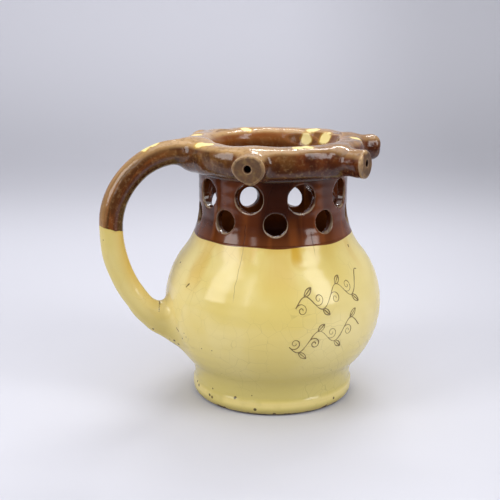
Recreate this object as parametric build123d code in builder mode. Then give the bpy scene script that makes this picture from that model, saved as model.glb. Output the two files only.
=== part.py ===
"""A puzzle jug of glazed earthenware: a thrown belly under a pierced neck, a hollow rim with four
drinking spouts, and a hollow handle that carries the drink from the belly up to the rim.
Millimetres, +Z up. The origin is the middle of the foot on the table, and the handle points to -X."""

from build123d import *
import os
from math import atan2, cos, degrees, radians, sin

os.makedirs("parts", exist_ok=True)

# Clay wall of the belly and the neck, and the floor of the jug
wall = 5.2
floor = 8.0

# Foot: a band with a tucked-in lower edge, and the waist above it
foot_radius = 51.4
foot_tuck = 3.9
foot_tuck_height = 4.5
foot_band = 4.5
waist_radius = 50.5
waist_height = 13.5
waist_curve = 15.7

# Belly and neck, as radii and as rises from one to the next
belly_radius = 69.0
belly_rise = 47.0
neck_radius = 46.4
neck_rise = 63.5
neck_length = 23.9
shoulder_joint = 19.5

# Two staggered rows of round holes through the neck, measured down from its top
holes_in_row = 9
upper_hole = 17.5
upper_hole_drop = 13.9
lower_hole = 13.8
lower_hole_drop = 28.9
lower_hole_heading = 13.5

# Hollow rim, seated on the neck, and the coil of clay worked in under it
rim_tube = 18.6
rim_channel = 9.6
rim_overhang = 1.1
rim_seat = 1.5
coil_height = 5.0
coil_width = 2.6

# Spouts: the sixth of a turn between them, and the four of the five places that have one
spout_step = 60.0
spout_places = {"front_spout": 0, "left_back_spout": 2, "right_back_spout": 4, "right_front_spout": 5}
spout_length = 15.2
spout_root = 17.6
spout_waist = 16.4
spout_end = 17.8
spout_bore = 3.6
spout_bore_lift = 0.7
spout_edge = 1.2

# Clay worked round the root of each spout
collar_width = 25.0
collar_height = 16.0
collar_middle_width = 19.6
collar_middle_height = 17.8
collar_length = 16.0

# Handle: a tube that leaves the rim rising, bows out and down, and turns in to the belly
handle_tube = 15.0
handle_bore = 7.2
handle_lift = 1.3
handle_rise_angle = 15.0
finger_gap = 26.5
back_curve = 80.0
back_turn = 33.0
back_run = 6.0
root_curve = 22.0
root_turn = 29.0
root_depth = 14.0
suction_hole = 4.0
suction_place = 0.32

# Clay worked round the two ends of the handle
root_flare_width = 22.0
root_flare_height = 26.0
root_flare_length = 9.0
root_flare_depth = 3.0
saddle_width = 26.0
saddle_height = 13.2
saddle_middle_width = 19.2
saddle_middle_height = 16.4
saddle_length = 21.0
luting_skin = 0.4

belly_height = waist_height + belly_rise
narrow_height = belly_height + neck_rise
neck_top = narrow_height + neck_length
joint_height = narrow_height - shoulder_joint
rim_radius = neck_radius + rim_overhang
rim_height = neck_top + rim_tube / 2 - rim_seat
handle_radius = handle_tube / 2

# The belly's arc touches the waist's arc, and the shoulder's arc touches the belly's
waist_reach = waist_radius + waist_curve - belly_radius
belly_curve = (waist_reach**2 + belly_rise**2 - waist_curve**2) / (2 * (waist_curve - waist_reach))
neck_reach = neck_radius - belly_radius + belly_curve
shoulder_curve = (neck_reach**2 + neck_rise**2 - belly_curve**2) / (2 * (belly_curve - neck_reach))
waist_center = (waist_radius + waist_curve, waist_height)
belly_center = (belly_radius - belly_curve, belly_height)
neck_center = (neck_radius + shoulder_curve, narrow_height)
lower_turn = degrees(atan2(belly_rise, waist_center[0] - belly_center[0]))
upper_turn = degrees(atan2(neck_rise, neck_center[0] - belly_center[0]))


def pot_curves(inset):
    """The three arcs of the pot's side, from the waist up to the narrowest place, set in from the outside."""
    CenterArc(waist_center, waist_curve + inset, 180, -lower_turn)
    CenterArc(belly_center, belly_curve - inset, -lower_turn, lower_turn + upper_turn)
    CenterArc(neck_center, shoulder_curve + inset, 180 + upper_turn, -upper_turn)


def foot_line():
    """The underside, the tucked edge and the band of the foot, up to the waist."""
    face_radius = foot_radius - foot_tuck
    band_top = foot_tuck_height + foot_band
    Line((0, 0), (face_radius, 0))
    EllipticalCenterArc((face_radius, foot_tuck_height), foot_tuck, foot_tuck_height, -90, arc_size=90)
    Polyline((foot_radius, foot_tuck_height), (foot_radius, band_top), (waist_radius, waist_height))


# The whole outside of the pot, filled, to seat other pieces against
with BuildPart() as pot_outside:
    with BuildSketch(Plane.XZ):
        with BuildLine():
            foot_line()
            pot_curves(0)
            Polyline((neck_radius, narrow_height), (neck_radius, neck_top), (0, neck_top), (0, 0))
        make_face()
    revolve(axis=Axis.Z)

# The room inside the pot, open at the top of the neck
with BuildPart() as pot_inside:
    with BuildSketch(Plane.XZ):
        with BuildLine():
            floor_corner = waist_height - floor
            inner_waist = waist_radius - wall
            inner_neck = neck_radius - wall
            Line((0, floor), (inner_waist - floor_corner, floor))
            CenterArc((inner_waist - floor_corner, waist_height), floor_corner, -90, 90)
            pot_curves(wall)
            Polyline((inner_neck, narrow_height), (inner_neck, neck_top), (0, neck_top), (0, floor))
        make_face()
    revolve(axis=Axis.Z)

# The hollow rim's outside, filled
with BuildPart() as rim_outside:
    with BuildSketch(Plane.XZ):
        with Locations((rim_radius, rim_height)):
            Circle(rim_tube / 2)
    revolve(axis=Axis.Z)

# Middle line of the handle, in its own plane with x away from the jug's middle and y up
handle_plane = Plane(origin=(0, 0, 0), x_dir=(-1, 0, 0), z_dir=(0, 1, 0))
handle_reach = belly_radius + finger_gap + handle_radius
bow_curve = (handle_reach - rim_radius) / (1 + sin(radians(handle_rise_angle)))
root_fall = 90 - back_turn - root_turn
with BuildLine(handle_plane) as handle_line:
    handle_start = (rim_radius, rim_height + handle_lift)
    rise = (cos(radians(handle_rise_angle)), sin(radians(handle_rise_angle)))
    bow = JernArc(handle_start, rise, bow_curve, -90 - handle_rise_angle)
    back = JernArc(bow @ 1, bow % 1, back_curve, -back_turn)
    run = PolarLine(back @ 1, back_run, direction=back % 1)
    turn = JernArc(run @ 1, run % 1, root_curve, -root_turn)
    root_run = (-(turn @ 1).X - belly_radius) / cos(radians(root_fall))
    root = PolarLine(turn @ 1, root_run + root_depth, direction=turn % 1)
root_heading = root % 1
root_point = root @ 0 + root_heading * root_run

with BuildPart() as handle_outside:
    add(handle_line.line)
    with BuildSketch(Plane(origin=bow @ 0, x_dir=(0, 1, 0), z_dir=bow % 0)):
        Circle(handle_radius)
    sweep()

# Belly, with the foot, the floor and the hole that lets the drink into the handle
with BuildPart() as thrown_belly:
    add(pot_outside.part)
    add(pot_inside.part, mode=Mode.SUBTRACT)
    split(bisect_by=Plane.XY.offset(joint_height), keep=Keep.BOTTOM)
    with BuildSketch(Plane(origin=root_point, z_dir=root_heading)):
        Circle(handle_bore / 2)
    extrude(amount=root_depth, both=True, mode=Mode.SUBTRACT)
thrown_belly.part.label = "thrown_belly"
export_step(thrown_belly.part, "parts/thrown_belly.step")

# Neck, pierced by the two rows of holes
with BuildPart() as pierced_neck:
    add(pot_outside.part)
    add(pot_inside.part, mode=Mode.SUBTRACT)
    split(bisect_by=Plane.XY.offset(joint_height), keep=Keep.TOP)
    stagger = 180 / holes_in_row
    for hole, drop, heading in (
        (upper_hole, upper_hole_drop, lower_hole_heading + stagger),
        (lower_hole, lower_hole_drop, lower_hole_heading),
    ):
        with Locations((0, 0, neck_top - drop)):
            with PolarLocations(neck_radius, holes_in_row, start_angle=heading):
                Cylinder(hole / 2, 4 * wall, rotation=(0, 90, 0), mode=Mode.SUBTRACT)
pierced_neck.part.label = "pierced_neck"
export_step(pierced_neck.part, "parts/pierced_neck.step")

# Hollow rim: a ring of tube with a flat seat on the neck and a way out to each spout and the handle
with BuildPart() as hollow_rim:
    with BuildSketch(Plane.XZ):
        with Locations((rim_radius, rim_height)):
            Circle(rim_tube / 2)
            Circle(rim_channel / 2, mode=Mode.SUBTRACT)
        with Locations((rim_radius, neck_top)):
            Rectangle(rim_tube, rim_tube, align=(Align.CENTER, Align.MAX), mode=Mode.SUBTRACT)
    revolve(axis=Axis.Z)
    with Locations((0, 0, rim_height + spout_bore_lift)):
        for place in spout_places.values():
            with PolarLocations(rim_radius, 1, start_angle=place * spout_step):
                Cylinder(
                    spout_bore / 2,
                    rim_tube,
                    rotation=(0, 90, 0),
                    align=(Align.CENTER, Align.CENTER, Align.MIN),
                    mode=Mode.SUBTRACT,
                )
    with BuildSketch(Plane(origin=bow @ 0, z_dir=bow % 0)):
        Circle(handle_bore / 2)
    extrude(amount=rim_tube, mode=Mode.SUBTRACT)
hollow_rim.part.label = "hollow_rim"
export_step(hollow_rim.part, "parts/hollow_rim.step")

# Coil of clay in the corner between the neck and the underside of the rim
with BuildPart() as rim_luting:
    with BuildSketch(Plane.XZ):
        with BuildLine():
            coil_foot = (neck_radius, neck_top - coil_height)
            coil_edge = (neck_radius + coil_width, neck_top)
            Polyline(coil_edge, (neck_radius, neck_top), coil_foot)
            SagittaArc(coil_foot, coil_edge, -coil_width / 3)
        make_face()
    revolve(axis=Axis.Z)
rim_luting.part.label = "rim_luting"
export_step(rim_luting.part, "parts/rim_luting.step")

# Spouts: short drinking tubes, a little waisted, seated round the outside of the rim in soft clay
spout_tip = rim_radius + rim_tube / 2 + spout_length
spout_middle = rim_radius + rim_tube / 2 + spout_length / 3
for name, place in spout_places.items():
    heading = radians(place * spout_step)
    outward = Vector(cos(heading), sin(heading), 0)
    along = Vector(-sin(heading), cos(heading), 0)
    rim_middle = Vector(0, 0, rim_height)
    with BuildPart() as spout_outside:
        with BuildSketch(Plane(origin=rim_middle, x_dir=outward, z_dir=along * -1)):
            with BuildLine():
                Polyline(
                    (spout_tip, spout_end / 2),
                    (spout_tip, 0),
                    (rim_radius, 0),
                    (rim_radius, spout_root / 2),
                )
                ThreePointArc(
                    (rim_radius, spout_root / 2),
                    (spout_middle, spout_waist / 2),
                    (spout_tip, spout_end / 2),
                )
            make_face()
        revolve(axis=Axis(rim_middle, outward))
        fillet(spout_outside.faces().sort_by(Axis(rim_middle, outward))[-1].edges(), spout_edge)
    with BuildPart() as spout:
        add(spout_outside.part)
        with BuildSketch(Plane(origin=rim_middle, x_dir=along, z_dir=outward)):
            with Locations((0, spout_bore_lift)):
                Circle(spout_bore / 2)
        extrude(amount=spout_tip, mode=Mode.SUBTRACT)
        add(rim_outside.part, mode=Mode.SUBTRACT)
    spout.part.label = name
    export_step(spout.part, f"parts/{name}.step")
    with BuildPart() as spout_luting:
        for reach, width, height in (
            (0, collar_width, collar_height),
            (rim_tube / 2, collar_middle_width, collar_middle_height),
            (collar_length, spout_waist + 2 * luting_skin, spout_waist + 2 * luting_skin),
        ):
            collar_plane = Plane(rim_middle + outward * (rim_radius + reach), x_dir=along, z_dir=outward)
            with BuildSketch(collar_plane):
                Ellipse(width / 2, height / 2)
        loft()
        add(spout_outside.part, mode=Mode.SUBTRACT)
        add(rim_outside.part, mode=Mode.SUBTRACT)
    spout_luting.part.label = f"{name}_luting"
    export_step(spout_luting.part, f"parts/{name}_luting.step")

# Handle: a hollow tube, with the concealed hole under its top that a finger has to stop
with BuildPart() as handle:
    add(handle_outside.part)
    add(handle_line.line)
    with BuildSketch(Plane(origin=bow @ 0, x_dir=(0, 1, 0), z_dir=bow % 0)):
        Circle(handle_bore / 2)
    sweep(mode=Mode.SUBTRACT)
    add(rim_outside.part, mode=Mode.SUBTRACT)
    add(pot_outside.part, mode=Mode.SUBTRACT)
    bow_middle = handle_plane.from_local_coords((handle_reach - bow_curve, (bow @ 1).Z))
    suction_point = bow @ suction_place
    with BuildSketch(Plane(origin=suction_point, z_dir=bow_middle - suction_point)):
        Circle(suction_hole / 2)
    extrude(amount=handle_tube, mode=Mode.SUBTRACT)
handle.part.label = "handle"
export_step(handle.part, "parts/handle.step")

# Clay worked round the lower end of the handle, spread on to the belly
with BuildPart() as handle_root_luting:
    belly_outward = (root_point - handle_plane.from_local_coords(belly_center)).normalized()
    belly_seat = Plane(root_point - belly_outward * root_flare_depth, x_dir=(0, 1, 0), z_dir=belly_outward)
    with BuildSketch(belly_seat):
        Ellipse(root_flare_width / 2, root_flare_height / 2)
    flare_end = root_point - root_heading * root_flare_length
    with BuildSketch(Plane(flare_end, x_dir=(0, 1, 0), z_dir=root_heading * -1)):
        Circle(handle_radius + luting_skin)
    loft()
    add(handle_outside.part, mode=Mode.SUBTRACT)
    add(pot_outside.part, mode=Mode.SUBTRACT)
handle_root_luting.part.label = "handle_root_luting"
export_step(handle_root_luting.part, "parts/handle_root_luting.step")

# Clay worked round the upper end of the handle, spread along the rim
with BuildPart() as handle_top_luting:
    for share, width, height in (
        (0, saddle_width, saddle_height),
        (0.5, saddle_middle_width, saddle_middle_height),
        (1, handle_tube + 2 * luting_skin, handle_tube + 2 * luting_skin),
    ):
        place = share * saddle_length / bow.length
        with BuildSketch(Plane(origin=bow @ place, x_dir=(0, 1, 0), z_dir=bow % place)):
            Ellipse(width / 2, height / 2)
    loft()
    add(handle_outside.part, mode=Mode.SUBTRACT)
    add(rim_outside.part, mode=Mode.SUBTRACT)
handle_top_luting.part.label = "handle_top_luting"
export_step(handle_top_luting.part, "parts/handle_top_luting.step")
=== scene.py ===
"""A glazed earthenware puzzle jug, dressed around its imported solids: a thrown belly, a pierced neck,
a hollow rim with drinking spouts, and a handle that runs into the rim and the belly.
Metres, +Z up, handle towards -X."""

from functools import reduce
from math import atan2, cos, pi, radians, sin

import bmesh
import bpy
import numpy as np
from bpy.props import FloatProperty, FloatVectorProperty, IntProperty, PointerProperty
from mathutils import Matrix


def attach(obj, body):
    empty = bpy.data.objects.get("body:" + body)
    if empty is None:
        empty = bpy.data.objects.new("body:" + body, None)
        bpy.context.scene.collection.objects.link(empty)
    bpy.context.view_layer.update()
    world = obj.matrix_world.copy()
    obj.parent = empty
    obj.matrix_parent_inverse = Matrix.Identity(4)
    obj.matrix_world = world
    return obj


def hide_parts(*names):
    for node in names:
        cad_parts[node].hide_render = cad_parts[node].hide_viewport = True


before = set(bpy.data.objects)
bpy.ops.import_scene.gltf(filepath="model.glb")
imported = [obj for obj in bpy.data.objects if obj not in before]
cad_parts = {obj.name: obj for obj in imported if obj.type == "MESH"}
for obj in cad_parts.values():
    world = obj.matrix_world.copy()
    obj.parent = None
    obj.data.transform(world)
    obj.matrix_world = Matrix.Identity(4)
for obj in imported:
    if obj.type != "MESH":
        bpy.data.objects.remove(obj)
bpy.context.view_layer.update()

bl_info = {
    "name": "Puzzle jug",
    "version": (1, 0, 0),
    "blender": (4, 5, 0),
    "location": "3D View > Sidebar > Jug",
    "description": "Builds a glazed puzzle jug around its packed solids",
    "category": "Object",
}

MM = 0.001
BODY = "root"

# How finely the pieces are meshed: faces round a thrown wall, and the cells of the hand-built pieces' skin
ROUND_FACES = 256
SKIN_CELL = 0.7 * MM
SPOUT_CELL = 0.45 * MM
NECK_CELL = 0.6 * MM
# Room above and below the middle line of the rim in which its skin is looked for
RIM_ROOM = 13 * MM
# Points closer than this become one, edges turned further than this are sharp, and a length too small to count
SAME_POINT = 0.005 * MM
SHARP_EDGE = radians(50)
HAIR = 1e-7


def length(name, description, millimetres):
    """A size that a user may change, given in millimetres and kept in metres."""
    return FloatProperty(
        name=name, description=description, default=millimetres * MM, unit="LENGTH", precision=5
    )


def bearing(name, description, degrees):
    """A direction that a user may change, given in degrees."""
    return FloatProperty(name=name, description=description, default=radians(degrees), subtype="ANGLE")


def linear(level):
    """A screen's level from 0 to 255 as an amount of light from 0 to 1."""
    share = level / 255
    return share / 12.92 if level <= 10 else ((share + 0.055) / 1.055) ** 2.4


def colour(name, description, *levels):
    """A glaze colour that a user may change, given as it looks on a screen, from 0 to 255."""
    default = (*map(linear, levels), 1.0)
    return FloatVectorProperty(
        name=name, description=description, subtype="COLOR", size=4, min=0, max=1, default=default
    )


class JugSizes(bpy.types.PropertyGroup):
    """Sizes of the jug's pieces."""

    wall: length("Wall", "Thickness of the belly's and the neck's wall", 5.2)
    floor: length("Floor", "Thickness of the jug's floor", 8.0)
    foot_radius: length("Foot radius", "Outside of the band round the foot", 51.4)
    foot_tuck: length("Foot tuck", "How far the foot's lower edge turns in", 3.9)
    foot_tuck_height: length("Foot tuck height", "Height over which the foot turns in", 4.5)
    foot_band_top: length("Foot band top", "Height of the upper edge of the foot's band", 9.0)
    waist_radius: length("Waist radius", "Narrowest place above the foot", 50.5)
    waist_height: length("Waist height", "Height of the narrowest place above the foot", 13.5)
    waist_curve: length("Waist curve", "Radius of the hollow curve above the foot", 15.7)
    belly_radius: length("Belly radius", "Widest place of the belly", 69.0)
    belly_height: length("Belly height", "Height of the widest place", 60.5)
    neck_radius: length("Neck radius", "Outside of the straight neck", 46.4)
    neck_height: length("Neck height", "Height at which the neck becomes straight", 124.0)
    neck_top: length("Neck top", "Height of the neck's upper end, under the rim", 147.9)
    joint_height: length("Joint height", "Height where the neck stands on the belly", 107.0)
    throwing_pitch: length("Throwing pitch", "Height of one throwing ring", 6.5)
    throwing_depth: length("Throwing depth", "Depth of the throwing rings", 0.1)
    wobble: length("Wobble", "How far the thrown wall strays from round", 0.5)
    holes_in_row: IntProperty(name="Holes in a row", description="Holes in each row", default=9, min=3)
    upper_hole: length("Upper hole", "Diameter of the holes in the upper row", 17.5)
    upper_hole_height: length("Upper hole height", "Height of the upper row", 134.0)
    lower_hole: length("Lower hole", "Diameter of the holes in the lower row", 13.8)
    lower_hole_height: length("Lower hole height", "Height of the lower row", 119.0)
    lower_hole_heading: bearing("Lower hole heading", "Heading of a hole of the lower row", 13.5)
    rim_radius: length("Rim radius", "Radius of the middle line of the rim's tube", 47.5)
    rim_height: length("Rim height", "Height of the middle line of the rim's tube", 155.7)
    rim_tube: length("Rim tube", "Outside diameter of the rim's tube", 18.6)
    rim_channel: length("Rim channel", "Diameter of the channel in the rim", 9.6)
    coil: length("Coil", "Thickness of the coil of clay under the rim", 4.6)
    spout_tip: length("Spout tip", "Distance of the spouts' ends from the jug's middle", 72.0)
    spout_waist: length("Spout waist", "Diameter of a spout at its thinnest", 16.6)
    spout_end: length("Spout end", "Diameter of a spout at its end", 18.4)
    spout_bore: length("Spout bore", "Diameter of the hole in a spout", 3.6)
    spout_bore_lift: length("Spout bore lift", "Height of that hole above the spout's middle", 0.7)
    handle_tube: length("Handle tube", "Outside diameter of the handle", 15.0)
    handle_bore: length("Handle bore", "Diameter of the channel in the handle", 7.2)
    suction_hole: length("Suction hole", "Diameter of the concealed hole under the handle", 4.0)
    vine_heading: bearing("Vine heading", "Heading where the drawn vine begins", -100)
    vine_height: length("Vine height", "Height where the drawn vine begins", 60.0)
    vine_stroke: length("Vine stroke", "Width of the drawn vine's strokes", 0.5)
    seam: length("Seam", "How far from the middle the rim ends and a spout or the handle begins", 57.5)
    spout_melt: length("Spout melt", "How far the clay and glaze run where a spout meets the rim", 6.0)
    handle_melt: length("Handle melt", "How far the clay and glaze run at the handle's ends", 10.0)
    lumps: length("Lumps", "How far the hand-built pieces stray from even", 0.55)


class GlazeColours(bpy.types.PropertyGroup):
    """Colours of the glazes and of the bare clay."""

    honey: colour("Honey", "Clear honey glaze over white slip", 223, 201, 117)
    # Cream also paints light on the belly's upper right
    cream: colour("Cream", "Where the honey glaze lies thin", 232, 214, 146)
    amber: colour("Amber", "Where the honey glaze lies thick, under the brown", 206, 160, 42)
    # Olive also paints shade towards the foot
    olive: colour("Olive", "Honey glaze towards the foot", 200, 184, 106)
    brown: colour("Brown", "Red-brown glaze of the neck", 92, 44, 19)
    # Dark brown also paints shade under the rim, inside the neck's holes, round the spouts' bores and on the
    # handle's inner side
    dark_brown: colour("Dark brown", "Where the brown glaze lies thick", 50, 19, 7)
    amber_brown: colour("Amber brown", "Where the brown glaze runs thin", 140, 75, 27)
    khaki: colour("Khaki", "Greenish brown of the rim and the handle", 108, 71, 34)
    # Caramel also paints top light and highlights on the rim, the spouts' ends and the handle
    caramel: colour("Caramel", "Thin glaze on top of the rim, the spouts and the handle", 190, 152, 102)
    # Tan also paints highlights on the lower edges of the neck's holes
    tan: colour("Tan", "Thin glaze on edges", 158, 136, 110)
    # Chip also paints a highlight on the foot's band
    chip: colour("Chip", "Pale clay where the glaze has flaked off", 248, 226, 150)
    # Clay also paints a contact shadow along the foot's bottom
    clay: colour("Clay", "Bare brown clay of the foot's edge and the cracks", 84, 58, 34)


class StudioSet(bpy.types.PropertyGroup):
    """Floor, light and camera."""

    backdrop: colour("Backdrop", "Floor and backdrop", 207, 207, 215)
    lamp_level: FloatProperty(name="Lamp level", description="Brightness of all lamps", default=0.775, min=0)
    world_level: FloatProperty(name="World level", description="Brightness of the room", default=0.37, min=0)
    camera_place: FloatVectorProperty(
        name="Camera place",
        description="Where the camera stands",
        size=3,
        unit="LENGTH",
        default=(-0.19651, -0.58731, 0.25054),
    )
    camera_turn: FloatVectorProperty(
        name="Camera turn",
        description="How the camera is turned",
        size=3,
        subtype="EULER",
        default=(radians(75.671), 0.0, radians(-17.165)),
    )
    camera_lens: FloatProperty(
        name="Camera lens", description="Focal length in millimetres", default=72.0, min=1
    )


class Wire:
    """A value in a node tree. Arithmetic on it adds Math nodes."""

    def __init__(self, board, socket):
        self.board = board
        self.socket = socket

    def __getitem__(self, name):
        return Wire(self.board, self.board.find(self.socket.node.outputs, name))

    def math(self, operation, *others, flipped=False):
        values = [self, *others]
        if flipped:
            values.reverse()
        return self.board.node("ShaderNodeMath", {"operation": operation}, dict(enumerate(values)))

    def __add__(self, other):
        return self.math("ADD", other)

    __radd__ = __add__

    def __sub__(self, other):
        return self.math("SUBTRACT", other)

    def __rsub__(self, other):
        return self.math("SUBTRACT", other, flipped=True)

    def __mul__(self, other):
        return self.math("MULTIPLY", other)

    __rmul__ = __mul__

    def __truediv__(self, other):
        return self.math("DIVIDE", other)

    def __rtruediv__(self, other):
        return self.math("DIVIDE", other, flipped=True)

    def __neg__(self):
        return self * -1.0

    def high(self, other):
        """The higher of two values."""
        return self.math("MAXIMUM", other)

    def low(self, other):
        """The lower of two values."""
        return self.math("MINIMUM", other)

    def step(self, low, high):
        """0 below low and 1 above high, with a smooth run between; turned round where low is higher."""
        start, end, first, last = (low, high, 0.0, 1.0) if low < high else (high, low, 1.0, 0.0)
        return self.board.node(
            "ShaderNodeMapRange",
            {"interpolation_type": "SMOOTHSTEP"},
            {"Value": self, "From Min": start, "From Max": end, "To Min": first, "To Max": last},
        )


class Board:
    """A node tree that nodes are added to."""

    def __init__(self, tree):
        self.tree = tree

    @staticmethod
    def find(sockets, key):
        if isinstance(key, int):
            return sockets[key]
        found = [s for s in sockets if s.identifier == key] or [s for s in sockets if s.name == key]
        if not found:
            raise KeyError(key)
        return found[0]

    def node(self, kind, settings=None, sockets=None, out=0):
        """Adds a node: its settings first, then the values or links of its sockets."""
        node = self.tree.nodes.new(kind)
        for name, value in (settings or {}).items():
            setattr(node, name, value)
        for key, value in (sockets or {}).items():
            socket = self.find(node.inputs, key)
            if isinstance(value, Wire):
                self.link(value, socket)
            else:
                socket.default_value = value
        return Wire(self, self.find(node.outputs, out))

    def mix(self, factor, first, second):
        """A colour between two colours."""
        return self.node(
            "ShaderNodeMix",
            {"data_type": "RGBA"},
            {"Factor_Float": factor, "A_Color": first, "B_Color": second},
            "Result_Color",
        )

    def vector(self, operation, *values, out=0):
        return self.node("ShaderNodeVectorMath", {"operation": operation}, dict(enumerate(values)), out)

    def link(self, wire, socket):
        """Leads a value into a socket."""
        self.tree.links.new(wire.socket, socket)

    def join(self, x, y, z):
        return self.node("ShaderNodeCombineXYZ", None, {0: x, 1: y, 2: z})

    def split(self, place):
        """A place's X, Y and Z, each by its name."""
        return self.node("ShaderNodeSeparateXYZ", None, {0: place})

    def noise(self, place, scale, detail=2.0, roughness=0.5):
        """Smooth noise from about 0.25 to 0.75."""
        sockets = {"Vector": place, "Scale": scale, "Detail": detail, "Roughness": roughness}
        return self.node("ShaderNodeTexNoise", None, sockets)


def pot_arcs(s):
    """The three arcs of the pot's side, each touching the next: centre, radius, and height where it ends."""
    rise = s.belly_height - s.waist_height
    reach = s.waist_radius + s.waist_curve - s.belly_radius
    belly = (reach**2 + rise**2 - s.waist_curve**2) / (2 * (s.waist_curve - reach))
    neck_rise = s.neck_height - s.belly_height
    neck_reach = s.neck_radius - s.belly_radius + belly
    shoulder = (neck_reach**2 + neck_rise**2 - belly**2) / (2 * (belly - neck_reach))
    waist_centre = (s.waist_radius + s.waist_curve, s.waist_height)
    belly_centre = (s.belly_radius - belly, s.belly_height)
    neck_centre = (s.neck_radius + shoulder, s.neck_height)
    lower_turn = atan2(rise, waist_centre[0] - belly_centre[0])
    upper_turn = atan2(neck_rise, neck_centre[0] - belly_centre[0])
    return (
        (waist_centre, s.waist_curve, -1, pi, pi - lower_turn),
        (belly_centre, belly, 1, -lower_turn, upper_turn),
        (neck_centre, shoulder, -1, pi + upper_turn, pi),
    )


def pot_side(s, inset, step=0.6 * MM):
    """Points up the pot's side from waist to neck top, as radius and height, set in from the outside."""
    points = []
    for centre, radius, sign, start, end in pot_arcs(s):
        curve = radius - sign * inset
        for angle in np.linspace(start, end, max(8, int(abs(end - start) * curve / step)), endpoint=False):
            points.append((centre[0] + curve * cos(angle), centre[1] + curve * sin(angle)))
    for height in np.arange(s.neck_height, s.neck_top, step):
        points.append((s.neck_radius - inset, height))
    points.append((s.neck_radius - inset, s.neck_top))
    return np.array(points)


def foot_side(s, step=0.4 * MM):
    """Points from the foot's flat underside up round its band to just under the waist."""
    face = s.foot_radius - s.foot_tuck
    turn = np.linspace(-pi / 2, 0, 24)
    tuck = np.stack([face + s.foot_tuck * np.cos(turn), s.foot_tuck_height * (1 + np.sin(turn))], 1)
    up = np.arange(s.foot_tuck_height + step, s.foot_band_top, step)
    band = np.stack([np.full(len(up), s.foot_radius), up], 1)
    turn = np.linspace(0, pi / 2, 9)
    shelf, shelf_rise = 1.1 * MM, 0.9 * MM
    out, up = s.foot_radius - shelf * (1 - np.cos(turn)), s.foot_band_top + shelf_rise * np.sin(turn)
    edge = np.stack([out, up], 1)
    share = np.linspace(0, 1, 10, endpoint=False)[1:, None]
    rise = (1 - share) * edge[-1] + share * (s.waist_radius, s.waist_height)
    return np.concatenate([tuck, band, edge, rise])


def softened(points, spread, step=0.3 * MM):
    """The same line with its corners rounded, its two ends kept."""
    run = np.concatenate([[0], np.cumsum(np.linalg.norm(np.diff(points, axis=0), axis=1))])
    even = np.linspace(0, run[-1], max(4, int(run[-1] / step)))
    line = np.stack([np.interp(even, run, points[:, k]) for k in (0, 1)], 1)
    reach = int(3 * spread / step)
    weights = np.exp(-0.5 * (np.arange(-reach, reach + 1) * step / spread) ** 2)
    weights /= weights.sum()
    soft = []
    for k in (0, 1):
        first = 2 * line[0, k] - line[reach:0:-1, k]
        last = 2 * line[-1, k] - line[-2 : -reach - 2 : -1, k]
        soft.append(np.convolve(np.concatenate([first, line[:, k], last]), weights, "valid"))
    return np.stack(soft, 1)


def linked(name, data):
    """A new object that shows some data in the scene."""
    thing = bpy.data.objects.new(name, data)
    bpy.context.scene.collection.objects.link(thing)
    return thing


def new_piece(name, mesh, material, nodes):
    """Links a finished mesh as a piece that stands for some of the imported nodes."""
    piece = linked(name, mesh)
    mesh.materials.clear()
    mesh.materials.append(material)
    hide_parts(*nodes)
    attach(piece, BODY)


def line_object(name, lines):
    """Lines of straight runs, each through its points in space, for a piece's nodes to follow."""
    curve = bpy.data.curves.new(name, "CURVE")
    curve.dimensions = "3D"
    for points in lines:
        spline = curve.splines.new("POLY")
        spline.points.add(len(points) - 1)
        for point, place in zip(spline.points, points):
            point.co = (*place, 1)
    return linked(name, curve)


def new_tree(name, inputs):
    """A Geometry Nodes tree with named inputs: its board, and the first input as a wire to the rest."""
    tree = bpy.data.node_groups.new(name, "GeometryNodeTree")
    tree.interface.new_socket("Geometry", in_out="OUTPUT", socket_type="NodeSocketGeometry")
    for label, kind in inputs.items():
        tree.interface.new_socket(label, in_out="INPUT", socket_type=f"NodeSocket{kind}")
    b = Board(tree)
    return b, b.node("NodeGroupInput", None, None, next(iter(inputs)))


def end_tree(b, geometry, glaze):
    """Ends a tree with plain geometry in its glaze."""
    geometry = b.node("GeometryNodeRealizeInstances", None, {"Geometry": geometry})
    geometry = b.node("GeometryNodeSetMaterial", None, {"Geometry": geometry, "Material": glaze})
    end = b.tree.nodes.new("NodeGroupOutput")
    b.link(geometry, end.inputs[0])
    return b.tree


def thrown_wall_tree():
    """Geometry nodes that turn a profile round the jug's axis, with throwing rings and a slight wobble."""
    inputs = {
        "Profile": "Object",
        "Segments": "Int",
        "Rows": "Int",
        "Pitch": "Float",
        "Depth": "Float",
        "Wobble": "Float",
        "Glaze": "Material",
    }
    b, given = new_tree("Thrown wall", inputs)
    ring_grain, wobble_grain, even_radius, seam_gap = 30.0, 14.0, 20 * MM, 0.01 * MM
    profile = b.node("GeometryNodeObjectInfo", None, {"Object": given}, "Geometry")
    sockets = {
        "Vertices X": given["Segments"] + 1,
        "Vertices Y": given["Rows"] + 1,
        "Size X": 1.0,
        "Size Y": 1.0,
    }
    grid = b.node("GeometryNodeMeshGrid", None, sockets)
    share = b.split(grid["UV Map"])
    on_line = b.node(
        "GeometryNodeSampleCurve",
        {"mode": "FACTOR", "use_all_curves": True},
        {"Curves": profile, "Factor": share["Y"]},
        "Position",
    )
    place = b.split(on_line)
    angle = share["X"] * (2 * pi)
    east, north = angle.math("COSINE"), angle.math("SINE")
    even = b.join(place["X"] * east, place["X"] * north, place["Z"])
    rings = (place["Z"] / given["Pitch"] * (2 * pi) + angle).math("SINE") * b.noise(even, ring_grain, 1.0)
    stray = b.noise(even, wobble_grain, 1.0) - 0.5
    inner_share = (place["X"] / even_radius).low(1.0)
    radius = place["X"] + (rings * given["Depth"] + stray * 2.0 * given["Wobble"]) * inner_share
    moved = b.join(radius * east, radius * north, place["Z"])
    wall = b.node("GeometryNodeSetPosition", None, {"Geometry": grid, "Position": moved})
    wall = b.node("GeometryNodeMergeByDistance", None, {"Geometry": wall, "Distance": seam_gap})
    wall = b.node("GeometryNodeSetShadeSmooth", None, {"Geometry": wall})
    return end_tree(b, wall, given["Glaze"])


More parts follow.
